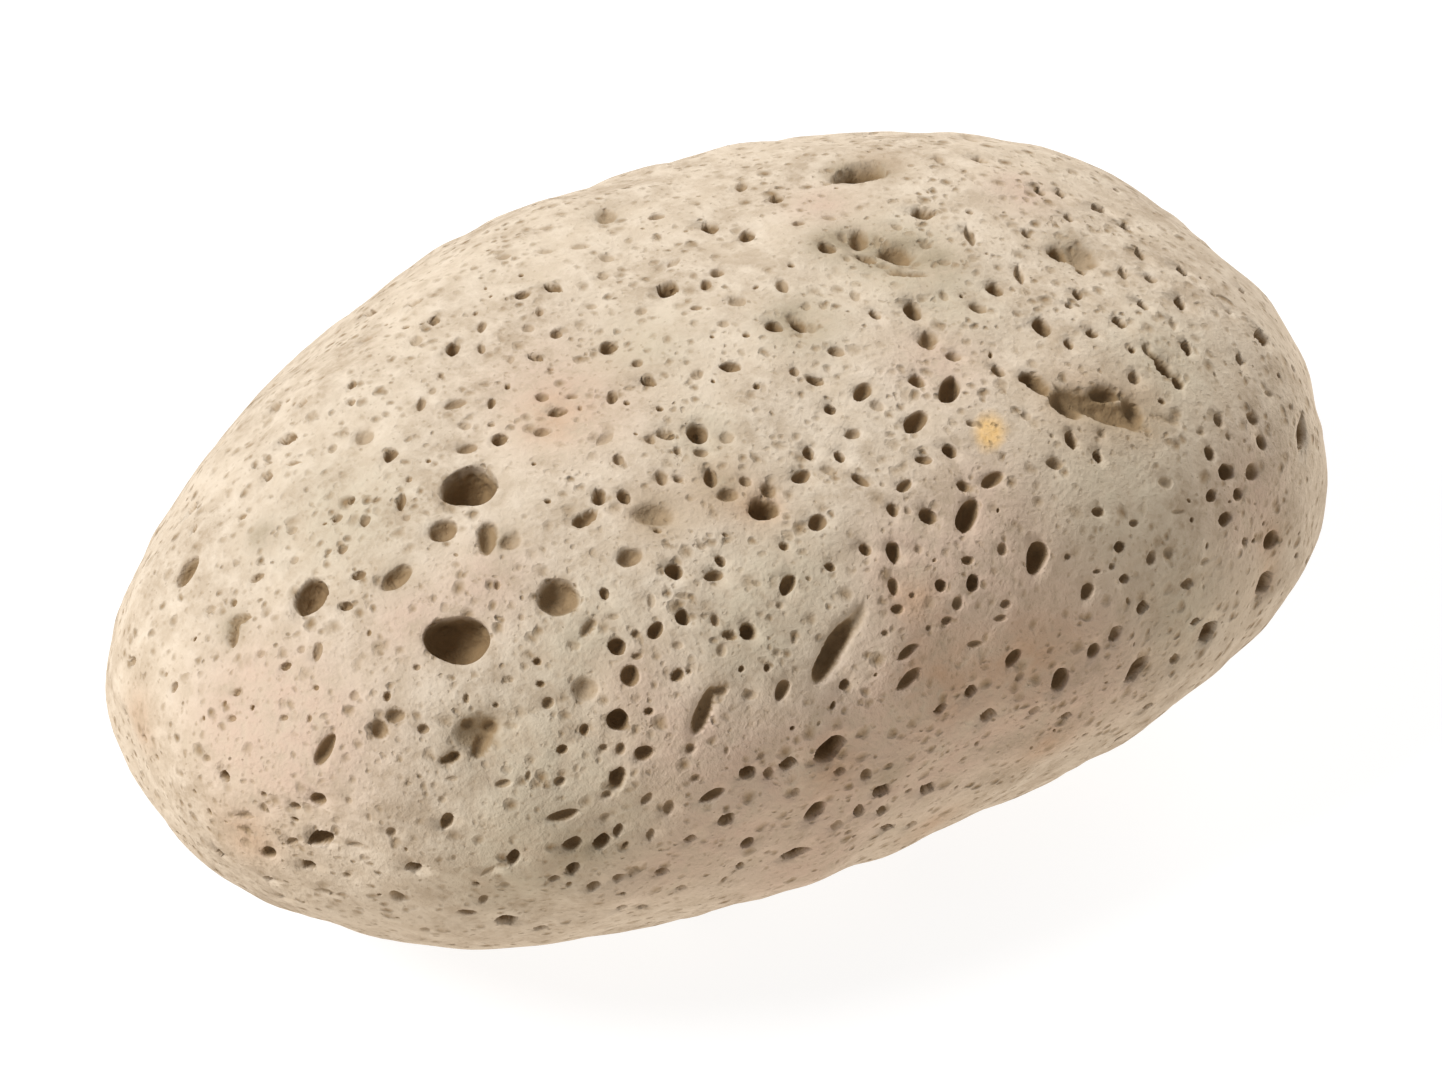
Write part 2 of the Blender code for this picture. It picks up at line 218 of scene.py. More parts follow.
# Pits of the show side. Each row: right, up and width in tenths of a millimetre, then height
# if it isn't the width, then turn in degrees. Kinds differ in depth, as a share of the smaller
# size, in darkness from 0 to 1, painted into the pit as brown stain and painted shade, in how
# soft the rim is, and in how far the wall runs back under it.
showPits = {
    "black": {
        "depth": 0.95, "dark": 1.0, "soft": 0.0, "under": 0.1,
        "rows": (
            (-202, 44, 49, 35), (113, 298, 50, 27, -3), (356, 139, 23, 12, -15), (-211, -80, 53, 41),
            (-215, 154, 12, 13), (259, 172, 15, 17), (310, 118, 28, 14, 15), (407, 54, 16, 15),
            (35, 25, 29, 19, 10), (184, 121, 18, 27, -25), (157, 95, 15, 23, -35), (183, 71, 13, 12),
            (199, 19, 29, 19, 55), (-37, -25, 15, 14), (54, -36, 20, 12, 60), (-30, -62, 13, 14),
            (-52, -73, 17, 12, 55), (-83, -86, 16, 14), (23, -74, 15, 16), (-82, -145, 19, 20),
            (139, -10, 13, 18), (176, -37, 11), (202, -35, 13, 15), (254, -15, 30, 18, 62),
            (-320, -240, 23, 14, 35), (-82, -192, 15, 19), (-95, -243, 14, 13), (-166, -256, 12),
            (-118, -264, 12), (88, -169, 28, 19, 20), (130, -202, 17, 13, 55),
        ),
    },
    "dark": {
        "depth": 0.75, "dark": 0.92, "soft": 0.1, "under": 0.05,
        "rows": (
            (-329, -45, 27, 31), (-13, -138, 46, 14, 70), (273, 232, 20, 12), (92, -90, 64, 20, 55),
            (369, 127, 15, 10, -40), (-263, 68, 12), (-177, 81, 14, 12), (-184, 110, 7, 10),
            (-256, 31, 8, 16), (-296, 32, 7, 8), (-131, 103, 18, 8, 20), (-111, 16, 18, 12, 40),
            (-98, 34, 13, 13), (-300, -53, 12, 8), (-290, -28, 12, 9), (-348, -101, 10, 8),
            (-147, -98, 9, 8), (-144, -116, 9, 7), (-266, -125, 7, 10), (-204, -149, 13),
            (-188, -153, 15), (-215, -175, 12), (-159, 197, 15, 9), (-134, 202, 16, 11, -30),
            (-91, 156, 16, 14), (44, 274, 13), (-9, 252, 15, 12, 20), (21, 246, 14, 12),
            (85, 235, 18, 11), (-43, 203, 18, 16, -20), (-12, 205, 10, 9), (43, 173, 16, 12),
            (64, 176, 16, 13), (302, 266, 12, 14, -50), (324, 252, 11, 10), (292, 219, 9),
            (221, 202, 16, 12), (286, 197, 10), (319, 174, 14, 10), (297, 165, 12, 8),
            (279, 157, 10, 9), (154, 184, 16), (370, 216, 11), (368, 190, 12), (374, 154, 11, 13),
            (434, 78, 11, 13), (466, 86, 36, 12, 80), (393, 69, 10, 13), (304, 67, 10, 11),
            (-58, 127, 13, 10, -30), (8, 139, 18, 10, -10), (76, 128, 16, 9), (-19, 87, 19, 18),
            (-8, 50, 13, 16), (65, 51, 18, 11, 30), (71, 70, 11, 12), (88, 105, 11, 9),
            (78, 14, 16, 15, 50), (-97, 36, 13), (-106, 19, 17, 11, 45), (-78, 35, 12, 13),
            (-51, 8, 9, 6), (114, 119, 18, 14, 60), (157, 127, 16, 11), (163, 64, 15, 8), (96, 67, 10),
            (113, 48, 18, 9, -35), (147, 43, 16, 9, 40), (138, 24, 11, 12), (167, 19, 16, 15),
            (195, 43, 13, 10), (218, 48, 22, 12, 30), (256, 125, 22, 20), (281, 80, 12, 16),
            (0, -17, 10), (-5, -29, 17, 10, 15), (51, -5, 10, 8), (-93, -43, 9, 11), (8, -77, 15, 9),
            (-72, -109, 16, 19), (-34, -109, 15, 10, 30), (38, -103, 7, 8), (50, -121, 21, 11, 60),
            (-57, -138, 10, 8), (117, -8, 11), (88, -22, 11, 8), (139, -38, 10, 16), (142, -56, 12, 9),
            (198, -17, 12, 8), (101, -118, 10), (150, -90, 22, 9, 28), (151, -112, 28, 10, 33),
            (175, -135, 12, 8, 20), (201, -122, 10, 12), (234, -95, 18, 11, 45),
            (273, -113, 22, 15, 30), (303, 22, 12, 9), (395, 35, 10, 13), (416, 36, 10, 12),
            (405, 16, 11, 14), (442, -1, 20, 12, 70), (437, -35, 22, 15, 45), (321, -6, 11),
            (326, -32, 11, 9), (295, -42, 17, 10, 55), (340, -55, 12), (380, -66, 10, 7),
            (391, -74, 22, 14, 40), (301, -90, 14, 10, 50), (333, -104, 29, 13, 38),
            (-318, -169, 28, 13, 60), (-398, -190, 9, 10), (-322, -208, 15, 11, 10),
            (-363, -252, 14, 10, -30), (-331, -262, 12, 10, -40), (-245, -262, 14, 10, 20),
            (-218, -177, 18, 10, 20), (-127, -169, 10, 9), (-109, -153, 9, 11),
            (-220, -227, 16, 11, 70), (-126, -222, 26, 10, 8), (-61, -172, 16, 14),
            (-118, -244, 16, 12), (-82, -235, 9, 11), (-172, -306, 20, 12, 20), (22, -188, 15, 12, 60),
            (-6, -205, 22, 9, 22), (5, -224, 15, 10, 50), (22, -244, 13, 8, 30), (16, -263, 7, 9),
            (55, -181, 15, 11), (76, -218, 20, 13, 25), (111, -218, 9, 11), (166, -200, 14, 11, 60),
            (60, -252, 24, 11, 10),
        ),
    },
    "brown": {
        "depth": 0.58, "dark": 0.72, "soft": 0.28, "under": 0.0,
        "rows": (
            (308, 105, 86, 23, -9), (113, 246, 19, 15), (118, 230, 20, 12), (143, 234, 30, 17, 15),
            (305, 104, 36, 20), (-130, -46, 36, 33, 40), (-386, -63, 20, 10), (-392, -76, 11, 24),
            (-427, -25, 32, 13, 52), (-260, -30, 32, 16, 45), (-223, 8, 25, 19, 30), (-187, 2, 19, 27),
            (-204, 74, 19, 9, 15), (-212, 109, 22, 8, 20), (-240, 109, 9, 12), (-184, 93, 8, 5),
            (-225, 133, 6), (-250, 49, 6), (-285, 16, 10, 11), (-308, 18, 10, 8), (-303, -7, 9),
            (-314, -9, 6), (-143, 115, 13, 8), (-144, 87, 16, 8), (-119, 115, 12, 5), (-113, 106, 5),
            (-136, 137, 7, 4), (-421, 10, 5, 8), (-363, 51, 8), (-342, 62, 14, 5), (-347, 82, 14, 12),
            (-296, 125, 8, 9), (-296, 111, 7), (-372, -30, 13, 7, 20), (-322, -89, 8, 18),
            (-473, -97, 8, 9), (-439, -118, 7, 10), (-389, -122, 8), (-392, -143, 9, 7),
            (-351, -143, 8, 6), (-331, -144, 5, 8), (-476, -140, 7, 10), (-461, -159, 7, 8),
            (-178, -36, 7, 9), (-138, -131, 11), (-243, -102, 8, 6), (-203, -127, 7, 10),
            (-180, -133, 6), (-260, -141, 18, 13), (-273, -152, 16, 20), (-194, -166, 26, 18, 60),
            (-238, -152, 11, 9), (-281, 183, 14, 10), (-230, 176, 11, 8), (-191, 171, 9, 11),
            (-192, 154, 8, 9), (-198, 183, 5), (-132, 166, 12, 9), (-148, 146, 14, 8, -30),
            (-145, 183, 8), (16, 283, 11, 12), (62, 254, 12, 6), (-52, 259, 16, 6), (150, 214, 36, 8),
            (-3, 214, 14, 9), (-20, 187, 12, 6), (49, 204, 12), (123, 180, 12, 9),
            (162, 262, 22, 12, 20), (208, 305, 18, 10), (198, 243, 10, 20), (245, 246, 10, 9),
            (256, 280, 12, 9), (272, 278, 9, 10), (278, 258, 10, 8), (240, 214, 10, 18),
            (206, 186, 18, 10), (279, 188, 9, 6), (335, 229, 10, 12), (323, 215, 9, 12),
            (168, 163, 16, 12), (344, 209, 12, 8), (338, 188, 11, 9), (341, 152, 8, 12),
            (432, 162, 12, 15), (334, 131, 11, 12), (334, 104, 28, 20, -15), (426, 97, 13, 12),
            (399, 96, 9, 14), (427, 54, 13, 16), (417, 145, 8, 11), (-67, 142, 11, 8),
            (-87, 115, 11, 12), (59, 135, 10, 9), (-16, 71, 14, 8), (-44, 85, 18, 10), (-56, 81, 10),
            (-35, 72, 8), (-82, 65, 11, 10), (-47, 50, 12, 14), (-34, 49, 10, 7), (20, 47, 12, 9),
            (6, 36, 20, 12, 20), (39, 40, 16, 13), (188, 148, 16, 8), (166, 159, 15, 12),
            (106, 85, 14, 10, 30), (223, 136, 14, 11), (278, 109, 34, 23, -10), (269, 61, 16, 11),
            (93, 152, 16, 9), (200, 93, 11, 6), (-72, -14, 24, 15, 35), (-4, -65, 9, 11), (-68, -76, 9),
            (-67, -94, 11, 7), (-106, -71, 20, 10, 50), (-25, -106, 7), (0, -123, 14, 12),
            (154, -45, 7, 6), (226, -8, 10, 12), (189, -51, 11, 12), (181, -65, 10, 9),
            (228, -52, 10, 9), (223, -63, 11, 7), (167, -71, 6), (132, -75, 7), (204, -84, 13, 7),
            (214, -141, 14, 12), (278, -142, 11, 6), (333, 13, 10, 8), (421, -2, 6, 8), (315, -22, 7),
            (347, -15, 13, 9, 60), (374, -36, 13, 10), (317, -76, 15, 10, 40), (343, -134, 11, 8),
            (279, -14, 7), (303, -26, 8, 5), (-341, -214, 10, 8), (-401, -251, 10, 9),
            (-344, -243, 12, 8, 40), (-263, -234, 9), (-259, -286, 12), (-367, -205, 6),
            (-363, -272, 10, 6), (-154, -190, 6, 10), (-174, -196, 15, 7, 10), (-129, -195, 11, 9),
            (-91, -205, 10, 8), (-80, -169, 10, 11), (-94, -168, 9, 8), (-56, -238, 8, 10),
            (-133, -272, 10, 6), (-101, -277, 12, 8), (-82, -272, 10, 6), (-203, -299, 18, 7),
            (-190, -289, 9, 8), (-144, -312, 12, 7), (-79, -295, 9), (-63, -296, 11, 8),
            (-41, -216, 10, 15), (-59, -209, 14, 8, 60), (-196, -277, 9, 5), (39, -189, 9, 11),
            (96, -187, 10, 8), (117, -189, 12, 9, 30), (134, -232, 12, 9), (-24, -240, 11, 7),
            (-47, -268, 12, 7), (129, -218, 8, 10), (-24, -168, 10),
        ),
    },
    "faint": {
        "depth": 0.32, "dark": 0.46, "soft": 0.6, "under": 0.0,
        "rows": (
            (-196, -155, 42, 30, 30), (-54, 20, 38, 20, 8), (291, 229, 34, 20, -5),
            (106, -70, 46, 15, 54), (99, 247, 12, 9), (127, 243, 10, 12), (132, 223, 15, 8),
            (101, 227, 9, 7), (165, 240, 12, 8), (160, 227, 10, 6), (142, 253, 11, 7),
            (180, 224, 12, 7), (58, 181, 13, 9), (74, 173, 11, 11), (64, 167, 9, 7), (69, 189, 10, 6),
            (86, 290, 10, 7), (-169, -1, 20, 16), (-286, 83, 19, 14, 45), (-205, 92, 13, 8),
            (-231, 120, 8), (-252, 18, 9, 6), (-168, 145, 8), (-424, 26, 10, 12), (-362, 62, 8, 4),
            (-312, 74, 8, 10), (-334, 110, 9, 8), (-358, 108, 8, 9), (-343, -16, 9, 8),
            (-345, 8, 10, 8), (-368, -91, 9, 8), (-335, -87, 8), (-408, -55, 10, 8), (-159, -62, 7),
            (-119, -84, 9), (-170, -112, 10, 8), (-170, -151, 16, 8), (-293, -125, 10),
            (-245, 190, 12, 8), (-155, 171, 13, 8), (-175, 228, 13, 8), (-142, 233, 16, 6),
            (-143, 251, 18, 5), (-113, 236, 20, 6), (-92, 228, 16, 8), (-95, 213, 10, 9),
            (-104, 188, 12, 6), (-93, 263, 20, 16), (-245, 161, 11), (-285, 162, 12, 7),
            (87, 260, 15, 6), (-64, 184, 12, 8), (13, 192, 16, 12, 40), (108, 197, 10, 12),
            (75, 322, 10, 8), (2, 174, 12, 7), (82, 188, 8), (-38, 222, 15, 7, 45), (174, 305, 9),
            (178, 195, 10), (280, 306, 15, 7), (362, 173, 8, 12), (386, 86, 9, 6), (365, 96, 16, 8),
            (345, 85, 8), (306, 85, 9), (418, 200, 8), (407, 183, 9, 5), (440, 117, 9, 7),
            (355, 45, 14, 12), (-19, 133, 12, 9), (-93, 82, 18, 11, 50), (5, 83, 14, 12),
            (126, 108, 16, 10), (87, 56, 15, 9), (150, 23, 8), (245, 99, 10, 8), (265, 83, 5),
            (-29, -45, 16, 7), (-86, -62, 12, 7), (-116, -85, 10), (-34, -85, 11, 8),
            (-109, -121, 24, 22), (-55, -49, 8, 14), (-15, -5, 10, 8), (1, -89, 10, 12),
            (46, -91, 10, 8), (60, -81, 7, 10), (25, -126, 12, 10), (29, -35, 10, 7), (48, -53, 8),
            (240, -110, 9), (265, -89, 7), (251, -137, 9), (159, -8, 9), (360, -11, 12),
            (389, -18, 11, 8), (364, -96, 10), (364, -133, 11, 5), (368, 22, 16, 5), (-412, -175, 8, 7),
            (-292, -245, 14, 6), (-317, -282, 18, 6), (-367, -216, 7, 10), (-382, -222, 18, 6),
            (-297, -209, 7), (-354, -285, 15, 7), (-280, -222, 5, 9), (-440, -231, 8),
            (-215, -192, 12, 6), (-173, -277, 10, 7), (-186, -266, 16, 6, 45), (-236, -312, 11, 6),
            (-70, -268, 10), (-223, -209, 8), (-93, -224, 10, 8), (153, -228, 9), (-20, -191, 10, 8),
            (-31, -280, 11, 6), (33, -174, 8), (60, -202, 8), (93, -229, 10),
        ),
    },
}

# Hollows with no rim. Each row: right, up, width, height, turn and depth.
showHollows = (
    (13.5, 23.2, 8.0, 5.0, -5, 0.45), (11.0, 24.0, 3.4, 2.6, 0, 0.55), (15.2, 22.8, 4.2, 2.4, -10, 0.6),
    (6.5, 17.7, 4.8, 3.6, 0, 0.7), (-0.8, 8.2, 5.0, 5.0, 0, 0.55), (-19.0, -16.0, 6.0, 5.0, 0, 0.6),
    (-9.3, 26.3, 4.0, 3.0, 0, 0.2), (33.8, 11.4, 5.5, 4.5, -20, 0.5), (9.4, 30.0, 7.0, 4.5, -8, 0.5),
    (14.2, 30.2, 3.0, 2.2, 0, 0.7), (28.4, 22.7, 6.0, 4.0, -5, 0.4), (10.0, -8.3, 8.5, 4.0, 55, 0.35),
    (-5.2, 1.9, 5.0, 3.0, 10, 0.3), (-10.6, -12.1, 3.5, 3.2, 0, 0.3),
)

# The far side is pitted by chance, its larger pits by the rule that the frame's solid has.
farPits = {
    "seed": 41,
    "trials": 128,
    "stray": (-0.25, 0.25),  # radians off the even spread
    "sizes": (1.9, 5.2),
    "power": 2.5,  # the higher, the more of them are small
    "slimness": (0.5, 1.0),
    "depths": (0.32, 0.5),  # as a share of the height
    "facing": 0.1,  # how much a place may face the eye
    "sunk": 1.12,
    "dark": 0.45,  # painted stain and shade, added to the depth
    "soft": 0.15,
    "under": 0.04,
    "restRadius": 9.0,  # none lie this near the middle underneath
}

# Small pits by chance: how many to try, the sizes, how much a place may face the eye, and a
# power that is higher the more of them are small.
pores = {
    "seed": 12,
    "far": {"trials": 620, "sizes": (0.6, 2.0), "facing": 0.25, "power": 2.2},
    "fine": {"trials": 700, "sizes": (0.42, 0.85), "facing": 2.0, "power": 1.5},
    "slimness": (0.6, 1.0),
    "depths": (0.25, 0.9),  # of the palest and the darkest, as a share of the height
    # painted stain and shade of the palest and the darkest
    "dark": (0.2, 0.95),
    "soft": (0.8, 0.1),
    "under": (0, 0.08),
    "room": 1.15,  # each has this many times its rim to itself,
    "gap": 0.22,  # and this much round it,
    "clear": 1.1,  # and lies outside this many times any patch
}

# How pits are meshed, in millimetres where it is a length.
pitMesh = {
    "seed": 7,
    "rim": 1.2,  # the patch ends at this many times the outline
    "rimGain": 0.88,  # the rounded rim makes a pit look wider than its outline
    "outlineSteps": 64,
    "lobes": (2, 3, 5),  # round the outline
    "stray": (0.07, 0.05, 0.03),  # how far each kind of lobe strays at most
    "strayShares": (0.3, 1.0),
    "deepest": 4.2,
    "wideShallow": (0.15, 1.2, 3.5),  # the most shallower, the width it starts at and over
    "narrowPale": (0.7, 0.25, 0.7, 1.8),  # painted stain and shade of the narrowest, gain, start and over
    "darkInside": (0.05, 0.5),  # of the depth, where the painted stain and shade starts and over
    "soften": 0.22,  # how wide the rim is rounded, as a share of the pit's mean half size
    "bowlPower": 0.6,  # the lower, the steeper the wall
    "bowlRound": 2.2,  # the higher, the wider the bottom
    "bowlOutside": -0.8,  # how high it is carried on outside its outline
    "joinPower": 6,  # the higher, the sharper the ridge between joined pits
    "fade": 0.08,  # the depth dies out over this last share of a patch
    "thick": 4.0,  # a patch reaches this far off its plane
    "touch": 1.05,  # rims this near each other are joined
    "sharedRoom": 1.03,  # a shared rim bends in no further than this allows
    "edgeLength": 0.36,
    "around": (8, 44),  # fewest and most steps round a patch
    "rings": (5, 15),
    "samples": 161,  # of the bowl's side, to space the rings by
    "rimExtra": 2.2,  # how many more rings there are at the rounded rim
    "rimWidth": 0.12,
    "smallPit": 0.5,  # smaller ones have these rings only
    "smallRings": (1, 0.85, 0.52),
    "sharedRings": (1.0, 0.95, 0.87, 1.08, 0.76, 0.6, 0.36, 0.0),
    "sharedLeast": 0.3,  # the innermost rings have as many points as this one would
    "sharedMore": 3,
    "sharedEdge": 0.955,  # no ring comes nearer to the rim
    "eaten": (0.9, 0.86),  # rings from the first share out are eaten inside the second
    "crowd": 0.14,  # points of a shared patch are this far apart at least
    "wallRough": 0.045,
    "roughDepth": 1.6,  # walls of deeper pits are no rougher
    "roughWaves": 14,
    "roughLengths": (0.5, 1.3),
}

# The skin between the patches, closed underneath by a fan round the pole, in degrees.
skinMesh = {"points": 18800, "clearOfRims": 0.34, "poleAngle": 2.2, "poleClear": 1.2, "poleSteps": 30}

frameKeys = ("middle", "wide", "tall", "normal")
pitKeys = (*frameKeys, "depth", "dark", "soft", "under")


def between(limits, shares):
    return limits[0] + (limits[1] - limits[0]) * shares


def fullRow(right, up, wide, tall=None, turned=0):
    return right / 10, up / 10, wide / 10, (tall or wide) / 10, turned


# Lists the pits of the show side, a column for each of the pit keys.
def layShowPits():
    rows, shares = [], []
    for kind in showPits.values():
        rows += [fullRow(*row) for row in kind["rows"]]
        shares += [[kind[key] for key in pitKeys[4:]]] * len(kind["rows"])
    rows, shares = np.array(rows), np.array(shares)
    gain = pitMesh["rimGain"]
    middles, wide, tall, normals = laidRows(rows, gain)
    across = 2 * np.minimum(lengthOf(wide), lengthOf(tall)) / gain
    shallow, start, over = pitMesh["wideShallow"]
    depth = across * shares[:, 0] * (1 - shallow * smooth(across, start, over))
    least, more, start, over = pitMesh["narrowPale"]
    dark = shares[:, 1] * (least + more * smooth(across, start, over))
    return middles, wide, tall, normals, np.minimum(depth, pitMesh["deepest"]), dark, *shares[:, 2:].T


# Places of the form by direction, their normals, and which of them a chance pit may take.
def chancePlaces(towards, facing):
    middles = formPoints(towards)
    normals = formNormals(middles)
    flat = middles[:, 2] <= floorLevel + stoneForm["flatNear"]
    normals[flat] = (0, 0, -1)
    resting = flat & (lengthOf(middles[:, :2]) < farPits["restRadius"])
    return middles, normals, (normals @ eyeBack < facing) & ~resting


def chanceAxes(normals, turned, sizes, slim):
    side = unit(np.cross(normals, (0.2, 0.9, 0.35)))  # any direction off the axes
    other = np.cross(normals, side)
    turned, sizes, slim = turned[:, None], sizes[:, None], slim[:, None]
    wide = (np.cos(turned) * side + np.sin(turned) * other) * sizes / 2
    tall = (np.cos(turned) * other - np.sin(turned) * side) * sizes * slim / 2
    return wide, tall


def layFarPits():
    chance = random.Random(farPits["seed"])
    count = farPits["trials"]
    draws = np.array([[chance.random() for _ in range(5)] for _ in range(count)])
    stray, size, slim, turned, deep = draws.T
    heights = 1 - 2 * (np.arange(count) + 0.5) / count
    angles = goldenTurns(count) + between(farPits["stray"], stray)
    middles, normals, free = chancePlaces(aboutX(heights, angles), farPits["facing"])
    sizes = between(farPits["sizes"], size ** farPits["power"])
    slim, deep = between(farPits["slimness"], slim), between(farPits["depths"], deep)
    wide, tall = chanceAxes(normals, turned * math.pi, sizes, slim)
    depth = np.minimum(sizes * slim * deep * farPits["sunk"], pitMesh["deepest"])
    soft, under = np.full(count, farPits["soft"]), np.full(count, farPits["under"])
    columns = middles, wide, tall, normals, depth, farPits["dark"] + deep, soft, under
    return [column[free] for column in columns]


# Directions about X for a share of the stone's surface, counted from one end, and an angle
# round it, so that the ends aren't crowded.
def spreadDirections(shares, turned, levels=241, around=48):
    heights = np.linspace(-1, 1, levels)
    angles = np.linspace(0, 2 * np.pi, around, endpoint=False)

    def ringsAt(heights):
        towards = aboutX(*np.meshgrid(heights, angles, indexing="ij"))
        return formPoints(towards.reshape(-1, 3)).reshape(len(heights), around, 3)

    rings, middles = ringsAt(heights), ringsAt((heights[1:] + heights[:-1]) / 2)
    area = lengthOf(rings[1:] - rings[:-1]) * lengthOf(middles - np.roll(middles, 1, axis=1))
    area = np.concatenate([[0], np.cumsum(area.sum(1))])
    return aboutX(np.interp(shares * area[-1], area, heights), turned)


# How far an outline strays from its ellipse, as a factor: one plus a wave for each lobe count.
def outlineAt(angles, lobes):
    waves = np.cos(np.multiply.outer(angles, np.array(pitMesh["lobes"])) + lobes[1])
    return 1 + (waves * np.array(pitMesh["stray"]) * lobes[0]).sum(-1)


# A point's place in a shape's own plane, where its plain outline is the unit circle: distance
# from the middle, angle, and height over the plane.
def placeIn(points, shape):
    offset = points - shape["middle"]
    across, along = (offset @ shape[key] / (shape[key] @ shape[key]) for key in ("wide", "tall"))
    return np.hypot(across, along), np.arctan2(along, across), offset @ shape["normal"]


steps = pitMesh["outlineSteps"]
stepAngles = evenTurns(steps)


def reachAt(reach, angles):
    return np.interp(angles, stepAngles, reach, period=2 * np.pi)


def ringPoints(shape, angles, spread):
    turned = np.cos(angles)[:, None] * shape["wide"] + np.sin(angles)[:, None] * shape["tall"]
    return shape["middle"] + spread[:, None] * turned


def rimPoints(patch, angles=stepAngles):
    return ringPoints(patch, angles, reachAt(patch["reach"], angles))


# A point's distance from a patch's middle, as a share of its reach that way, and its height.
def shareIn(points, patch):
    distance, turned, over = placeIn(points, patch)
    return distance / reachAt(patch["reach"], turned), over


# Which points a patch covers when it is made this many times as wide.
def covers(patch, points, times):
    share, over = shareIn(points, patch)
    return (share < times) & (np.abs(over) < pitMesh["thick"])


def meanSize(wide, tall):
    return math.sqrt(lengthOf(wide) * lengthOf(tall))


# One pit makes a patch with its own outline; pits that run together share one, whose outline
# is the farthest rim point each way round their common middle.
def patchOf(members, pits):
    if len(members) == 1:
        pit = pits[members[0]]
        patch = {key: pit[key] for key in frameKeys}
        reach = pitMesh["rim"] * outlineAt(stepAngles, pit["lobes"])
    else:
        rims = np.concatenate([rimPoints(patchOf([index], pits)) for index in members])
        weights = np.array([pits[index]["size"] ** 2 for index in members])
        middle = weights @ np.array([pits[index]["middle"] for index in members]) / weights.sum()
        normal = unit(sum(pits[index]["normal"] for index in members))
        offset = rims - middle
        offset = offset - np.outer(offset @ normal, normal)
        wide = np.linalg.svd(offset, full_matrices=False)[2][0]
        tall = np.cross(normal, wide)
        wide, tall = (axis * np.abs(offset @ axis).max() for axis in (wide, tall))
        patch = {"middle": middle, "wide": wide, "tall": tall, "normal": normal}
        distance, turned, _ = placeIn(rims, patch)
        step = np.round(turned % (2 * np.pi) / (2 * np.pi) * steps).astype(int) % steps
        reach = np.zeros(steps)
        np.maximum.at(reach, step, distance)
        known = reach > 0
        reach = np.interp(stepAngles, stepAngles[known], reach[known], period=2 * np.pi)
        reach = np.maximum(reach, (np.roll(reach, 1) + np.roll(reach, -1)) / 2) * pitMesh["sharedRoom"]
    patch["reach"], patch["members"] = reach, members
    patch["size"] = meanSize(patch["wide"], patch["tall"])
    patch["farthest"] = max(lengthOf(patch["wide"]), lengthOf(patch["tall"])) * reach.max()
    return patch


def crosses(one, other):
    touch = pitMesh["touch"]
    return covers(other, rimPoints(one), touch).any() or covers(one, rimPoints(other), touch).any()


# Joins patches whose rims cross until none do.
def mergePatches(pits):
    patches = [patchOf([index], pits) for index in range(len(pits))]
    while True:
        middles = np.array([patch["middle"] for patch in patches])
        reaches = np.array([patch["farthest"] for patch in patches])
        apart = lengthOf(middles[:, None] - middles[None])
        group = np.arange(len(patches))
        for one, other in np.argwhere(np.triu(apart < reaches[:, None] + reaches[None], 1)):
            if group[one] != group[other] and crosses(patches[one], patches[other]):
                group[group == group[other]] = group[one]
        labels = np.unique(group)
        if len(labels) == len(patches):
            return patches
        joined = []
        for label in labels:
            found = [patches[index] for index in np.flatnonzero(group == label)]
            members = sum((patch["members"] for patch in found), [])
            joined.append(patchOf(members, pits) if len(found) > 1 else found[0])
        patches = joined


def pitsFrom(columns, chance):
    pits = []
    for row in zip(*columns):
        pit = dict(zip(pitKeys, row))
        if np.cross(pit["wide"], pit["tall"]) @ pit["normal"] <= 0:
            pit["tall"] = -pit["tall"]
        pit["size"] = meanSize(pit["wide"], pit["tall"])
        shares = chance.uniform(*pitMesh["strayShares"], 3)
        pit["lobes"] = (shares, chance.uniform(0, 2 * np.pi, 3))
        pits.append(pit)
    return pits


# Keeps each place only where it has its room from all that are kept before it.
def thinned(places, rooms):
    kept = []
    for index in range(len(places)):
        if not kept or (lengthOf(places[kept] - places[index]) > rooms[kept] + rooms[index]).all():
            kept.append(index)
    return kept


# Small pits at random places, each kept only where it is clear of every rim so far.
def seededPits(kind, patches, chance):
    settings = pores[kind]
    count = settings["trials"]
    towards = spreadDirections(chance.random(count), chance.uniform(0, 2 * np.pi, count))
    sizes = between(settings["sizes"], chance.random(count) ** settings["power"])
    slim, turned = chance.uniform(*pores["slimness"], count), chance.uniform(0, np.pi, count)
    look = chance.random(count)
    middles, normals, free = chancePlaces(towards, settings["facing"])
    rims = np.concatenate([rimPoints(patch) for patch in patches])
    rooms = sizes / 2 * pitMesh["rim"] * pores["room"] + pores["gap"]
    for index in np.flatnonzero(free):
        free[index] = ((rims - middles[index]) ** 2).sum(1).min() > rooms[index] ** 2
    for patch in patches:
        free &= ~covers(patch, middles, pores["clear"])
    kept = np.flatnonzero(free)
    kept = kept[thinned(middles[kept], rooms[kept])]
    middles, normals, sizes, slim, turned, look = (
        column[kept] for column in (middles, normals, sizes, slim, turned, look)
    )
    wide, tall = chanceAxes(normals, turned, sizes, slim)
    depth = sizes * slim * between(pores["depths"], look)
    dark, soft, under = (between(pores[key], look) for key in pitKeys[5:])
    return middles, wide, tall, normals, depth, dark, soft, under


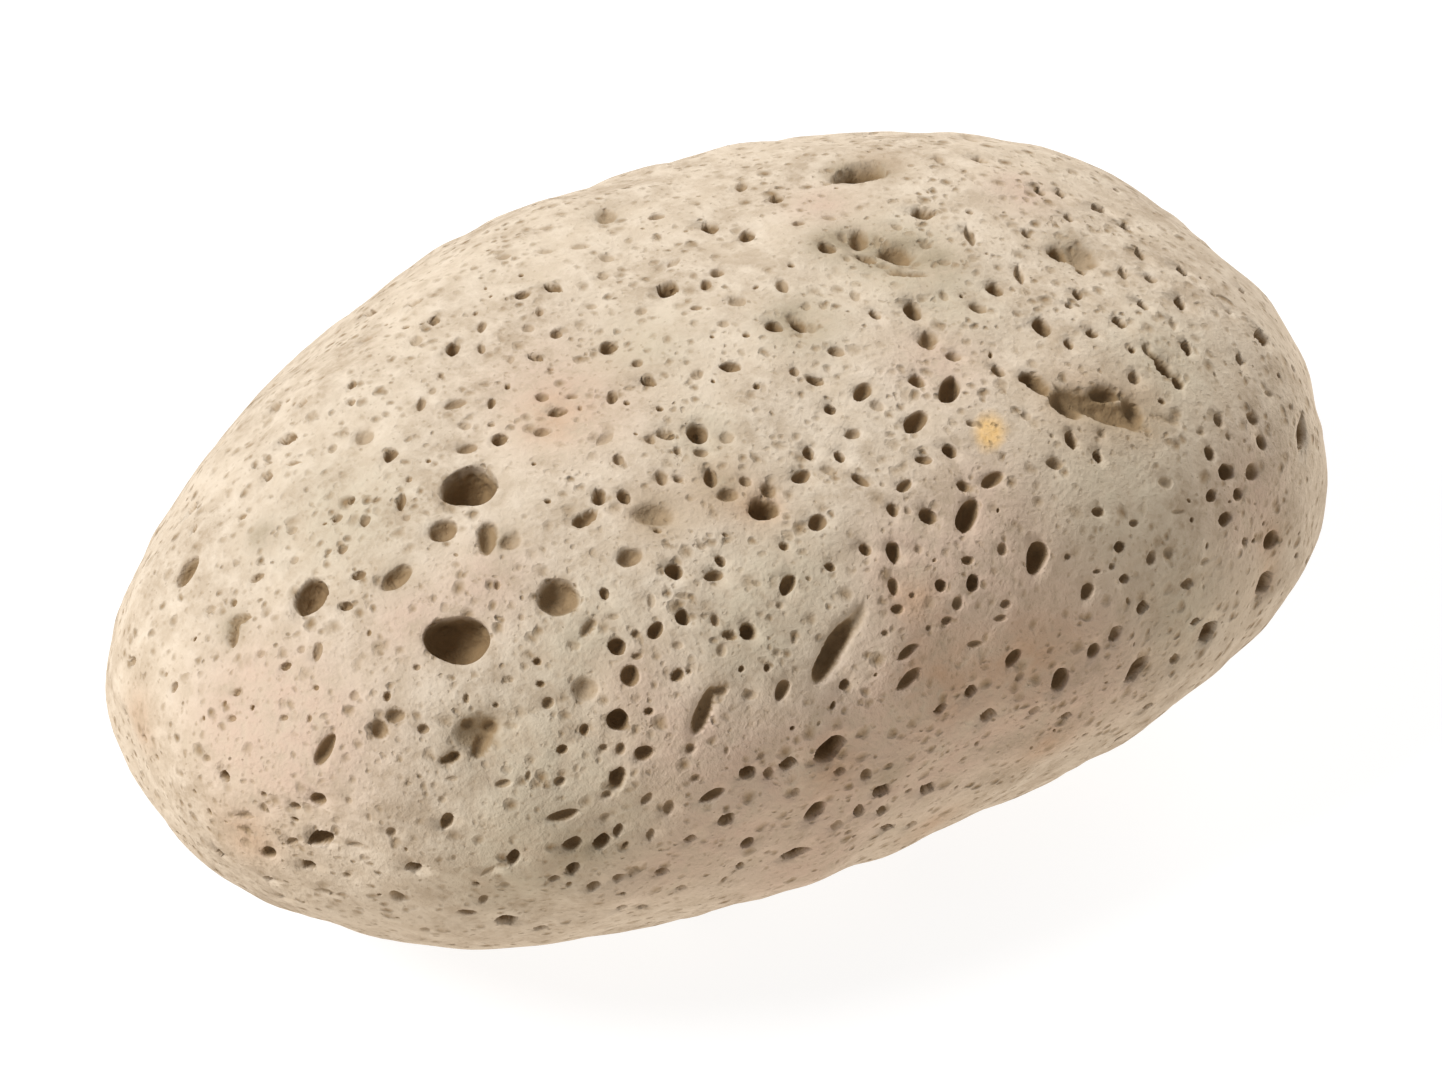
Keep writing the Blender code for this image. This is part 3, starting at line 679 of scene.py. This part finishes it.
# Adds ripples and takes away the rimless hollows along each ray from the middle. Both die out
# at the flat, which stays true.
def skinPoints(places):
    points = formPoints(places / half)
    lift = np.zeros(len(points))
    for along, length, height, phase in ripples:
        lift += height * np.sin(2 * np.pi * (points @ along) / length + phase)
    for hollow in hollows:
        distance, _, over = placeIn(points, hollow)
        fall = stoneForm["hollowEdge"] * distance**2 + (over / stoneForm["hollowThick"]) ** 2
        lift -= hollow["depth"] * np.exp(-fall)
    lift *= smooth(points[:, 2], floorLevel, stoneForm["flatFade"])
    moved = points + unit(points) * lift[:, None]
    moved[:, 2] = np.maximum(moved[:, 2], floorLevel)
    return moved


def rippleWaves():
    chance = np.random.default_rng(stoneForm["rippleSeed"])
    count = stoneForm["ripples"]
    low, high = stoneForm["rippleLengths"]
    lengths = low * (high / low) ** chance.random(count)
    along = unit(chance.normal(size=(count, 3)))
    heights = stoneForm["rippleHeight"] * lengths / low
    return list(zip(along, lengths, heights, chance.uniform(0, wholeTurn, count)))


def layHollows():
    rows = np.array(showHollows, float)
    return [dict(zip(pitKeys, row)) for row in zip(*laidRows(rows), rows[:, 5])]


# A pit's depth, as a share of its deepest, at a distance from its middle, as a share of its
# outline. The crisp form is a bowl inside the outline, carried on above the surface outside
# it, with the corner between them and the surface rounded. The soft form falls away evenly
# from middle to rim.
def bowlShare(share, pit):
    inner = 1 - share ** pitMesh["bowlRound"]
    bowl = np.abs(inner) ** pitMesh["bowlPower"] * np.where(inner > 0, 1, pitMesh["bowlOutside"])
    corner = pitMesh["soften"] * pit["size"] / pit["depth"]
    crisp = (bowl + np.sqrt(bowl**2 + corner**2)) / 2
    gentle = 1 - smooth(share, 0, pitMesh["rim"])
    return crisp + (gentle - crisp) * pit["soft"]


def stepsRound(size):
    return int(np.clip(round(2 * math.pi * size / pitMesh["edgeLength"]), *pitMesh["around"]))


# One pit's patch: rings round its middle, an even way apart down the bowl's side.
def ringPlaces(patch, pit):
    size = patch["size"] * patch["reach"].mean()
    around = stepsRound(size)
    if size < pitMesh["smallPit"]:
        fractions = np.array(pitMesh["smallRings"])
    else:
        shares = np.linspace(pitMesh["rim"], 0, pitMesh["samples"])
        fall = np.diff(bowlShare(shares, pit) * pit["depth"])
        way = np.hypot(np.diff(shares) * pit["size"], fall)
        way *= 1 + pitMesh["rimExtra"] * np.exp(-(((shares[1:] - 1) / pitMesh["rimWidth"]) ** 2))
        way = np.append(0, np.cumsum(way))
        count = int(np.clip(round(way[-1] / pitMesh["edgeLength"]), *pitMesh["rings"]))
        fractions = np.interp(np.arange(count) / count * way[-1], way, shares) / pitMesh["rim"]
    rim = rimPoints(patch, evenTurns(around)) - patch["middle"]
    places = (patch["middle"] + fractions[:, None, None] * rim).reshape(-1, 3)
    shares = np.append(np.repeat(fractions, around), 0)
    return np.vstack([places, patch["middle"]]), shares, around, patchTriangles(around, len(fractions))


# Triangles of rings of as many points each, from the outermost to the point in the middle.
def patchTriangles(around, rings):
    grid = np.arange(around * rings).reshape(rings, around)
    outer, inner = grid[:-1], grid[1:]
    outerNext, innerNext = np.roll(outer, -1, axis=1), np.roll(inner, -1, axis=1)
    last, middle = grid[-1], np.full(around, around * rings)
    faces = (outer, outerNext, innerNext), (outer, innerNext, inner), (last, np.roll(last, -1), middle)
    return np.concatenate([np.stack(corners, -1).reshape(-1, 3) for corners in faces])


# Triangles between the points of a plan, inside its loops or outside them all.
def planTriangles(plan, loops, inside):
    plan = [Vector(place) for place in plan.tolist()]
    _, _, faces, origins, _, sources = delaunay_2d_cdt(plan, [], loops, 0, 1e-9, True)
    kept = [face for face, source in zip(faces, sources) if bool(source) == inside]
    return np.array([[origins[corner][0] for corner in face] for face in kept])


# A shared patch: its rim, and inside it the outline rings of each member that no other member
# has eaten, thinned where they crowd and joined up in the patch's plane.
def sharedPlaces(patch, pits):
    around = stepsRound(patch["size"] * patch["reach"].mean())
    rim = rimPoints(patch, evenTurns(around))
    eatenFrom, eaten = pitMesh["eaten"]
    places = []
    for fraction in pitMesh["sharedRings"]:
        for index in patch["members"]:
            pit = pits[index]
            size = pit["size"] * max(fraction, pitMesh["sharedLeast"])
            count = stepsRound(size) + pitMesh["sharedMore"] if fraction else 1
            angles = evenTurns(count) + fraction * 2
            ring = ringPoints(pit, angles, fraction * outlineAt(angles, pit["lobes"]))
            for other in patch["members"]:
                if other != index and fraction >= eatenFrom:
                    ring = ring[placeIn(ring, pits[other])[0] > eaten]
            places.append(ring)
    places = np.concatenate(places)
    places -= np.outer((places - patch["middle"]) @ patch["normal"], patch["normal"])
    shares, _ = shareIn(places, patch)
    inside = shares < pitMesh["sharedEdge"]
    places, shares = places[inside], shares[inside]
    kept = thinned(places, np.full(len(places), pitMesh["crowd"] / 2))
    places = np.concatenate([rim, places[kept]])
    shares = np.concatenate([np.ones(around), shares[kept]])
    plan = (places - patch["middle"]) @ np.stack([unit(patch["wide"]), unit(patch["tall"])], 1)
    used, triangles = np.unique(planTriangles(plan, [list(range(around))], True), return_inverse=True)
    return places[used], shares[used], around, triangles.reshape(-1, 3)


# All pits and the patches that hold them: those listed and those laid by rule, then the pores.
def layPits():
    chance = np.random.default_rng(pitMesh["seed"])
    pits = pitsFrom([np.concatenate(pair) for pair in zip(layShowPits(), layFarPits())], chance)
    patches = mergePatches(pits)
    print("pits laid by hand and rule:", len(pits), "in", len(patches), "patches")
    poreChance = np.random.default_rng(pores["seed"])
    for kind in ("far", "fine"):
        found = pitsFrom(seededPits(kind, patches, poreChance), chance)
        first = len(pits)
        pits += found
        patches += [patchOf([first + index], pits) for index in range(len(found))]
        print(kind, "pores:", len(found))
    return pits, patches


# Places evenly over the form, clear of the patches and of the fan underneath.
def openSkin(patches):
    count, room = skinMesh["points"], skinMesh["clearOfRims"]
    skin = formPoints(spreadDirections((np.arange(count) + 0.5) / count, goldenTurns(count)))
    skin = skin[np.argsort(skin[:, 0])]
    clear = unit(skin)[:, 2] > -math.cos(math.radians(skinMesh["poleAngle"]) * skinMesh["poleClear"])
    for patch in patches:
        ends = patch["middle"][0] + (patch["farthest"] + room) * np.array((-1, 1))
        near = slice(*np.searchsorted(skin[:, 0], ends))
        clear[near] &= ~covers(patch, skin[near], 1 + room / patch["size"])
    return skin[clear]


# A small ring round the pole underneath, then the pole itself.
def polePlaces():
    angles, tilt = evenTurns(skinMesh["poleSteps"]), math.radians(skinMesh["poleAngle"])
    ring = np.stack([np.cos(angles), np.sin(angles)], 1) * math.sin(tilt)
    ring = np.column_stack([ring, np.full(len(ring), -math.cos(tilt))]) / half
    return formPoints(np.vstack([ring, (0.0, 0.0, -1.0)]))


# The skin laid flat from above, with the pole underneath far out.
def overPole(points):
    towards = unit(points)
    return towards[:, :2] / (1 + towards[:, 2:])


def turningOf(plan):
    x, y = plan.T
    return (x * np.roll(y, -1) - y * np.roll(x, -1)).sum()


# Sinks the pits of each patch below the skin: where several meet, the deeper one counts, and
# their ridge is rounded. Gives the moved places, their depth and their painted stain and shade.
def sinkPits(places, surface, pits, patches, blocks, fades):
    depth, dark, moved = np.zeros(len(places)), np.zeros(len(places)), surface.copy()
    power = pitMesh["joinPower"]
    for patch, block, fade in zip(patches, blocks, fades):
        total = np.zeros(len(fade))
        for index in patch["members"]:
            pit = pits[index]
            distance, turned, _ = placeIn(places[block], pit)
            share = bowlShare(distance / outlineAt(turned, pit["lobes"]), pit) * fade
            # Painted darkness inside the pit, stain with painted shade, growing with depth.
            dark[block] = np.maximum(dark[block], pit["dark"] * smooth(share, *pitMesh["darkInside"]))
            total += (share * pit["depth"]) ** power
            if len(patch["members"]) == 1:
                # The wall runs back most half way down.
                spread = 4 * pit["under"] * share * np.maximum(1 - share, 0)
                moved[block] += (places[block] - patch["middle"]) * spread[:, None]
        depth[block] = total ** (1 / power)
        moved[block] -= depth[block][:, None] * patch["normal"]
    return moved, depth, dark


def buildStone():
    pits, patches = layPits()
    skin, pole = openSkin(patches), polePlaces()
    places, fades, triangles, rings, blocks = [skin, pole], [], [], [], []
    offset = len(skin) + len(pole)
    poleIndex = offset - 1
    for patch in patches:
        single = len(patch["members"]) == 1
        made = ringPlaces(patch, pits[patch["members"][0]]) if single else sharedPlaces(patch, pits)
        points, shares, around, faces = made
        places.append(points)
        fades.append(smooth(1 - shares, 0, pitMesh["fade"]))
        triangles.append(faces + offset)
        rings.append(np.arange(around) + offset)
        blocks.append(slice(offset, offset + len(points)))
        offset += len(points)
    places = np.concatenate(places)
    surface = skinPoints(places)
    print("places on the skin:", len(places))
    moved, depth, dark = sinkPits(places, surface, pits, patches, blocks, fades)

    # The open skin and the pole's ring are joined to the patches' rims, seen from above.
    flat = np.concatenate([np.arange(poleIndex), *rings])
    plan = overPole(surface[flat])
    loops, start = [], poleIndex
    for ring in rings:
        loop = np.arange(start, start + len(ring))
        loops.append((loop if turningOf(plan[loop]) > 0 else loop[::-1]).tolist())
        start += len(ring)
    outer = flat[planTriangles(plan, loops, False)]
    print("skin triangulated:", len(outer), "faces")
    poleRing = np.arange(len(skin), poleIndex)
    fan = np.stack([np.roll(poleRing, -1), poleRing, np.full(len(poleRing), poleIndex)], 1)
    if turningOf(overPole(surface[poleRing])) < 0:
        fan = fan[:, ::-1]
    # A few skin points lie inside a patch's rim, so no face uses them.
    used, triangles = np.unique(np.concatenate([outer, fan, *triangles]), return_inverse=True)
    triangles = triangles.reshape(-1, 3)
    surface, moved, depth, dark = (rows[used] for rows in (surface, moved, depth, dark))
    rough = wallNoise(moved) * np.minimum(depth, pitMesh["roughDepth"]) * pitMesh["wallRough"]
    moved += pointNormals(moved, triangles) * rough[:, None]
    return moved, triangles, dark, surface


# Each point's normal is the sum of those of the faces at it, each as long as its face is big.
def pointNormals(points, triangles):
    first, second, third = (points[triangles[:, corner]] for corner in range(3))
    across = np.cross(second - first, third - first)
    total = np.zeros_like(points)
    for corner in range(3):
        np.add.at(total, triangles[:, corner], across)
    return unit(total)


# A sum of short waves in chance directions, from about -1 to 1.
def wallNoise(points):
    chance = np.random.default_rng(pitMesh["seed"] + 1)
    count = pitMesh["roughWaves"]
    along = unit(chance.normal(size=(count, 3)))
    along = along * (2 * np.pi / chance.uniform(*pitMesh["roughLengths"], count))[:, None]
    return np.sin(points @ along.T + chance.uniform(0, wholeTurn, count)).sum(1) / math.sqrt(count)


# Tinted patches: kind, then right, up and reach in millimetres on the show side.
showTints = {
    "pink": (
        (-18.5, -3.2, 3.5), (-12.0, 12.0, 6.0), (-25.0, -6.5, 3.0), (-7.2, -11.0, 2.6),
        (-4.0, -17.0, 5.0), (19.0, -9.0, 7.0), (27.0, -6.0, 7.0), (11.0, -17.5, 8.0),
        (19.5, -16.0, 7.0), (1.5, -20.5, 6.0), (31.0, -12.0, 6.0), (24.0, 28.0, 3.0), (22.0, 2.5, 5.0),
        (7.0, -26.5, 6.0), (14.5, -2.0, 4.0), (17.5, 14.5, 4.0), (-33.0, -16.0, 6.0),
        (-4.0, -26.0, 5.0), (42.5, 3.0, 5.0), (8.0, 27.0, 3.0), (-38.0, -14.0, 6.0),
    ),
    "olive": (
        (31.0, 4.0, 8.0), (-10.5, -8.0, 4.0), (-6.5, 15.2, 4.5), (6.0, -3.0, 5.0), (12.8, 23.6, 4.5),
        (15.2, 22.6, 3.0), (2.0, -8.0, 4.0), (-14.0, -19.0, 6.0), (18.0, 19.0, 4.0), (36.0, 14.0, 5.0),
        (-30.0, 2.0, 5.0), (-1.5, 8.5, 3.0), (6.6, 17.6, 3.2), (37.0, -6.0, 5.0), (-17.0, -27.0, 5.0),
        (-8.0, -23.0, 5.0),
    ),
    "rust": (
        (0.0, 4.0, 2.6), (-5.3, 2.0, 2.2), (44.2, -0.1, 1.8), (26.3, -16.4, 2.6), (28.7, 10.8, 3.4),
        (8.7, -18.4, 2.6), (-13.5, 9.8, 3.0), (3.5, 2.5, 2.0), (12.5, 30.2, 2.0), (15.5, -4.5, 2.0),
        (-46.5, -14.4, 2.5), (-38.0, -24.0, 3.0), (43.7, -3.5, 1.6), (17.0, -23.0, 3.0),
        (33.5, 10.5, 2.6), (18.0, -11.0, 4.0), (25.0, -9.5, 4.0),
    ),
    "amber": (
        (21.7, 9.2, 1.2), (21.4, 8.1, 1.05),
    ),
    # Dust with painted shade: darkens the rimless hollows, the groove and some dark pits.
    "dustAndShade": (
        (10.9, 24.0, 2.4), (13.0, 23.3, 2.2), (15.2, 22.8, 2.8), (17.4, 22.4, 2.0), (8.6, 23.7, 1.8),
        (6.3, 17.6, 2.6), (28.0, 10.7, 1.7), (30.5, 10.4, 1.8), (33.0, 10.2, 1.8), (34.8, 9.6, 1.3),
        (10.2, 29.7, 1.5), (10.0, 29.9, 1.5), (12.6, 30.0, 2.2), (-5.0, 1.9, 2.2), (-36.8, 0.4, 1.4),
        (-9.2, 26.2, 1.2), (-19.6, -15.6, 2.0), (-11.5, -24.8, 2.2), (-17.6, 0.0, 1.3),
        (-39.2, -7.0, 1.4), (0.0, 4.4, 1.8), (27.8, 23.4, 1.8), (13.5, -19.0, 1.6), (-26.0, -2.8, 1.2),
    ),
}
farTints = {"seed": 21, "pink": 10, "olive": 10, "rust": 12, "sizes": (3.0, 8.0), "rustShare": 0.5}


# How far each place belongs to a tint: the sum of soft round patches, held under one.
def tintAmounts(points, kind, chance):
    rows = np.array(showTints[kind], float)
    middles, sizes = seenPoints(rows), rows[:, 2]
    count = farTints.get(kind, 0)
    if count:
        more = formPoints(spreadDirections(chance.random(count), chance.uniform(0, 2 * np.pi, count)))
        reach = between(farTints["sizes"], chance.random(count))
        reach = reach * (farTints["rustShare"] if kind == "rust" else 1)
        back = formNormals(more) @ eyeBack < farPits["facing"]
        middles, sizes = np.concatenate([middles, more[back]]), np.concatenate([sizes, reach[back]])
    amount = np.zeros(len(points))
    for middle, size in zip(middles, sizes):
        amount += np.exp(-(((points - middle) ** 2).sum(1)) / size**2)
    return np.minimum(amount, 1)


# One socket of a material, so that sums and products of it read as plain arithmetic.
class Wire:
    def __init__(self, shop, socket):
        self.shop, self.socket = shop, socket

    def __add__(self, other):
        return self.shop.math("ADD", self, other)

    def __sub__(self, other):
        return self.shop.math("SUBTRACT", self, other)

    def __rsub__(self, other):
        return self.shop.math("SUBTRACT", other, self)

    def __mul__(self, other):
        return self.shop.math("MULTIPLY", self, other)

    __radd__, __rmul__ = __add__, __mul__


# Makes the nodes of one material.
class Shop:
    def __init__(self, material):
        material.use_nodes = True
        self.tree = material.node_tree

    # Settings come first; inputs are socket names or numbers with a value or a wire.
    def node(self, kind, settings=None, inputs=None, output=0):
        made = self.tree.nodes.new(kind)
        for name, value in (settings or {}).items():
            setattr(made, name, value)
        for name, value in (inputs or {}).items():
            self.join(value, made.inputs[name])
        return Wire(self, made.outputs[output])

    def join(self, value, socket):
        if isinstance(value, Wire):
            self.tree.links.new(value.socket, socket)
        else:
            socket.default_value = value

    def math(self, operation, first, second):
        return self.node("ShaderNodeMath", {"operation": operation}, {0: first, 1: second})

    def vector(self, operation, *values, output=0):
        inputs = dict(enumerate(values))
        return self.node("ShaderNodeVectorMath", {"operation": operation}, inputs, output)

    # 0 at the low value and below, 1 at the high value and above.
    def span(self, value, low, high):
        return self.node("ShaderNodeMapRange", {}, {"Value": value, "From Min": low, "From Max": high})

    def mix(self, share, first, second):
        return self.node("ShaderNodeMix", {"data_type": "RGBA"}, {0: share, 6: first, 7: second}, 2)

    def noise(self, place, length, detail=2.0, roughness=0.5, output=0):
        inputs = {"Vector": place, "Scale": 1 / (length * mm), "Detail": detail, "Roughness": roughness}
        return self.node("ShaderNodeTexNoise", {}, inputs, output)

    def attribute(self, name):
        return self.node("ShaderNodeAttribute", {"attribute_name": name}, {}, "Fac")


def rgb(red, green, blue):
    return (red, green, blue, 1.0)


pumiceLook = {
    "cream": rgb(0.60, 0.485, 0.36),
    "pale": rgb(0.72, 0.605, 0.475),
    "tan": rgb(0.46, 0.355, 0.25),
    "pink": rgb(0.56, 0.385, 0.285),
    "olive": rgb(0.45, 0.385, 0.26),
    "rust": rgb(0.48, 0.28, 0.15),
    # Dust with painted shade, for the hollows.
    "dustAndShade": rgb(0.33, 0.255, 0.16),
    "amber": rgb(0.80, 0.50, 0.19),
    # Inside the small pores: brown stain with painted shade.
    "poreBrownAndShade": rgb(0.30, 0.20, 0.105),
    # Inside the pits: brown stain with painted shade, the darker colour where they are deepest.
    "pitBrownAndShade": rgb(0.31, 0.21, 0.11),
    "pitDarkAndShade": rgb(0.21, 0.13, 0.058),
    "roughness": 0.95,
    "specular": 0.25,
    "bumpStrength": 0.8,
    # Noises: length in millimetres, detail and roughness.
    "broad": (9.0, 3.0, 0.6),
    "mottle": (2.2, 4.0, 0.62),
    "grain": (0.55, 3.0, 0.6),
    "crowd": (5.0, 2.0, 0.5),
    "stray": (0.9, 0.6),  # pores are pushed about by a noise this long, by this much
    "tintShares": {"pink": 0.8, "olive": 0.55, "rust": 0.7, "dustAndShade": 1.0},
    # Each mask grows with its noise or attribute from the first value to the second, and shows
    # by the third at most.
    "masks": {
        "cream": (0.36, 0.60),
        "pale": (0.40, 0.66, 0.8),
        "tint": (0.38, 0.80),
        "amber": (0.3, 1.0),
        "grainPale": (0.30, 0.70, 0.25),
        "crowd": (0.35, 0.60, 0.5),
        # The pits' stain and painted shade grow with the pit attribute.
        "pitBrownAndShade": (0.05, 0.62, 0.92),
        "pitDarkAndShade": (0.55, 1.0, 0.85),
    },
    "frayTint": 0.35,  # how far the grain frays the edges of tints, the fleck and the pits
    "frayAmber": 0.2,
    "frayPits": 0.2,
    "leastCrowd": 0.5,  # how much painted stain and shade pores have, and how deep they are, where they are faintest
    "poreEdge": 0.2,  # a pore is deepest inside this share of its radius
    "poreFade": 0.25,  # cells just past the empty share have fainter ones
    # Pores too small for the mesh: cell in millimetres, the least and largest radius as a share
    # of it, the share of cells with none, how much painted stain and shade they have, and how deep, in
    # millimetres.
    "tinyPores": (
        (1.70, 0.16, 0.44, 0.12, 1.0, 0.34),
        (1.05, 0.18, 0.46, 0.2, 0.9, 0.20),
        (0.55, 0.20, 0.46, 0.25, 0.45, 0.06),
    ),
    "grainHeight": 0.16,
    "mottleHeight": 0.14,
}


# One layer of pores: in each chosen cell, a dent round the cell's own point.
def tinyPores(shop, place, cell, least, largest, empty):
    inputs = {"Vector": place, "Scale": 1 / (cell * mm)}
    distance = shop.node("ShaderNodeTexVoronoi", {"feature": "F1"}, inputs)
    chances = shop.node("ShaderNodeTexVoronoi", {"feature": "F1"}, inputs, "Color")
    chosen = shop.node("ShaderNodeSeparateColor", {}, {"Color": chances}, 0)
    size = shop.node("ShaderNodeSeparateColor", {}, {"Color": chances}, 1)
    radius = between((least, largest), size)
    dent = shop.span(distance, radius, radius * pumiceLook["poreEdge"])
    return dent * shop.span(chosen, empty, empty + pumiceLook["poreFade"])


def pumiceMaterial():
    look = pumiceLook
    material = bpy.data.materials.new("pumice")
    shop = Shop(material)
    shader = shop.tree.nodes["Principled BSDF"]
    place = shop.node("ShaderNodeTexCoord", {}, {}, "Object")
    broad, mottle, grain = (shop.noise(place, *look[name]) for name in ("broad", "mottle", "grain"))
    length, push = look["stray"]
    stray = shop.vector("SUBTRACT", shop.noise(place, length, output="Color"), (0.5, 0.5, 0.5))
    strayed = shop.vector("MULTIPLY_ADD", stray, (push * mm,) * 3, place)

    def mask(name, value):
        low, high, *most = look["masks"][name]
        grown = shop.span(value, low, high)
        return grown * most[0] if most else grown

    colour = shop.mix(mask("cream", broad), look["tan"], look["cream"])
    colour = shop.mix(mask("pale", mottle), colour, look["pale"])
    # Tints: pink, olive and rust are the stone's own colours; the dust one is dust with painted shade.
    for kind, most in look["tintShares"].items():
        amount = shop.attribute(kind) * mask("tint", mottle + look["frayTint"] * grain) * most
        colour = shop.mix(amount, colour, look[kind])
    amber = mask("amber", shop.attribute("amber") + look["frayAmber"] * grain)
    colour = shop.mix(amber, colour, look["amber"])
    colour = shop.mix(mask("grainPale", grain), colour, look["pale"])
    height = grain * look["grainHeight"] + mottle * look["mottleHeight"]
    crowd = mask("crowd", shop.noise(place, *look["crowd"])) + look["leastCrowd"]
    for *pores, brown, deep in look["tinyPores"]:
        pore = tinyPores(shop, strayed, *pores) * crowd
        # Each pore gets brown stain with painted shade, and a dent in the bump.
        colour = shop.mix(pore * brown, colour, look["poreBrownAndShade"])
        height = height - pore * deep
    # Pits are darkened by their stain and by painted shade, more the deeper they are.
    pitStainAndShade = shop.attribute("pitStainAndShade") + (grain - 0.5) * look["frayPits"]
    for name in ("pitBrownAndShade", "pitDarkAndShade"):
        colour = shop.mix(mask(name, pitStainAndShade), colour, look[name])
    shop.join(colour, shader.inputs["Base Color"])
    bump = {"Height": height, "Strength": look["bumpStrength"], "Distance": mm}
    shop.join(shop.node("ShaderNodeBump", {}, bump), shader.inputs["Normal"])
    shop.join(look["roughness"], shader.inputs["Roughness"])
    shop.join(look["specular"], shader.inputs["Specular IOR Level"])
    return material


def meshFrom(name, points, triangles, attributes, material):
    mesh = bpy.data.meshes.new(name)
    mesh.vertices.add(len(points))
    mesh.vertices.foreach_set("co", points.astype(np.float32).ravel())
    mesh.loops.add(3 * len(triangles))
    mesh.loops.foreach_set("vertex_index", triangles.astype(np.int32).ravel())
    mesh.polygons.add(len(triangles))
    mesh.polygons.foreach_set("loop_start", np.arange(0, 3 * len(triangles), 3, dtype=np.int32))
    for label, values in attributes.items():
        layer = mesh.attributes.new(label, "FLOAT", "POINT")
        layer.data.foreach_set("value", values.astype(np.float32))
    mesh.update(calc_edges=True)
    mesh.shade_smooth()
    mesh.materials.append(material)
    made = bpy.data.objects.new(name, mesh)
    bpy.context.scene.collection.objects.link(made)
    return made


ripples = rippleWaves()
hollows = layHollows()
points, triangles, dark, surface = buildStone()

# Fits the stone into the frame's solid, whose box has the same middle and floor.
low, high = (np.array(corner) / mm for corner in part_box("pumice_stone"))
ownLow, ownHigh = points.min(0), points.max(0)
fit = (high - low) / (ownHigh - ownLow)


def fitted(places):
    return (places - (ownLow + ownHigh) / 2) * fit + (low + high) / 2


edges = np.sort(np.concatenate([np.roll(triangles, side, axis=1)[:, :2] for side in range(3)]), axis=1)
openEdges = int((np.unique(edges, axis=0, return_counts=True)[1] != 2).sum())
print("triangles:", len(triangles), "open or crowded edges:", openEdges, "fit", fit)
tintChance = np.random.default_rng(farTints["seed"])
# The pit attribute carries each pit's stain and painted shade.
attributes = {"pitStainAndShade": dark, **{kind: tintAmounts(surface, kind, tintChance) for kind in showTints}}
stone = meshFrom("pumiceStone", fitted(points) * mm, triangles, attributes, pumiceMaterial())
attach(stone, "root")
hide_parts("pumice_stone")
print("stone built")

studio = {
    "floorSize": 6.0,
    "floor": {
        "Base Color": rgb(0.25, 0.25, 0.25),
        "Roughness": 0.9,
        "Specular IOR Level": 0.1,
        "Emission Color": rgb(1, 1, 1),
        "Emission Strength": 0.85,
    },
    # The room's own light from above, and what comes back from the pale table.
    "roomAbove": 0.28,
    "roomBelow": 1.12,
    "roomBelowColour": rgb(1.0, 0.93, 0.84),
    "roomEdge": (-0.05, 0.1),  # how far down one turns into the other
    "lights": (  # name, towards it, metres away, size, watts, colour
        ("leftSoftbox", (-0.66, 0.16, 0.73), 1.0, 0.4, 10.7, (0.96, 0.98, 1.0)),
        ("backRightSoftbox", (0.85, 0.35, 0.40), 1.0, 0.7, 6.7, (1.0, 0.995, 0.98)),
    ),
}


def paperMaterial():
    material = bpy.data.materials.new("palePaper")
    shop = Shop(material)
    for name, value in studio["floor"].items():
        shop.join(value, shop.tree.nodes["Principled BSDF"].inputs[name])
    return material


def makeStudio():
    corners = np.array([(-1, -1, 0), (1, -1, 0), (1, 1, 0), (-1, 1, 0)]) * studio["floorSize"] / 2
    sides = np.array([(0, 1, 2), (0, 2, 3)])
    floor = meshFrom("studioFloor", corners, sides, {}, paperMaterial())
    # The floor shows and catches shadows, and the room itself holds the light that it returns.
    floor.visible_diffuse = False
    floor.visible_shadow = False
    world = bpy.data.worlds.new("studioRoom")
    shop = Shop(world)
    towards = shop.node("ShaderNodeTexCoord", {}, {}, "Generated")
    down = shop.vector("DOT_PRODUCT", towards, (0, 0, -1), output="Value")
    lower = shop.span(down, *studio["roomEdge"])
    sky = shop.tree.nodes["Background"]
    shop.join(shop.mix(lower, rgb(1, 1, 1), studio["roomBelowColour"]), sky.inputs["Color"])
    above, below = studio["roomAbove"], studio["roomBelow"]
    shop.join(lower * (below - above) + above, sky.inputs["Strength"])
    bpy.context.scene.world = world
    middle = Vector((0, 0, high[2] * mm / 2))
    for name, towards, away, size, watts, colour in studio["lights"]:
        lamp = bpy.data.lights.new(name, "AREA")
        lamp.shape, lamp.size, lamp.energy, lamp.color = "DISK", size, watts, colour
        made = bpy.data.objects.new(name, lamp)
        made.location = middle + away * Vector(towards).normalized()
        made.rotation_euler = Vector(towards).to_track_quat("Z", "Y").to_euler()
        made.visible_camera = False
        bpy.context.scene.collection.objects.link(made)


def makeCamera():
    data = bpy.data.cameras.new("camera")
    data.lens, data.sensor_width = eyePlace["lens"], eyePlace["sensorWidth"]
    data.sensor_fit = "HORIZONTAL"
    data.clip_start, data.clip_end = 0.01, 50
    made = bpy.data.objects.new("camera", data)
    # The aim moves with the fit that the stone was given.
    made.location = (fitted(eyeAim) + eyeDistance * eyeBack) * mm
    made.rotation_euler = Vector(eyeBack).to_track_quat("Z", "Y").to_euler()
    bpy.context.scene.collection.objects.link(made)
    bpy.context.scene.camera = made


makeStudio()
makeCamera()
bpy.context.scene.view_settings.view_transform = "Standard"
bpy.context.scene.view_settings.look = "None"
print("studio and camera set")
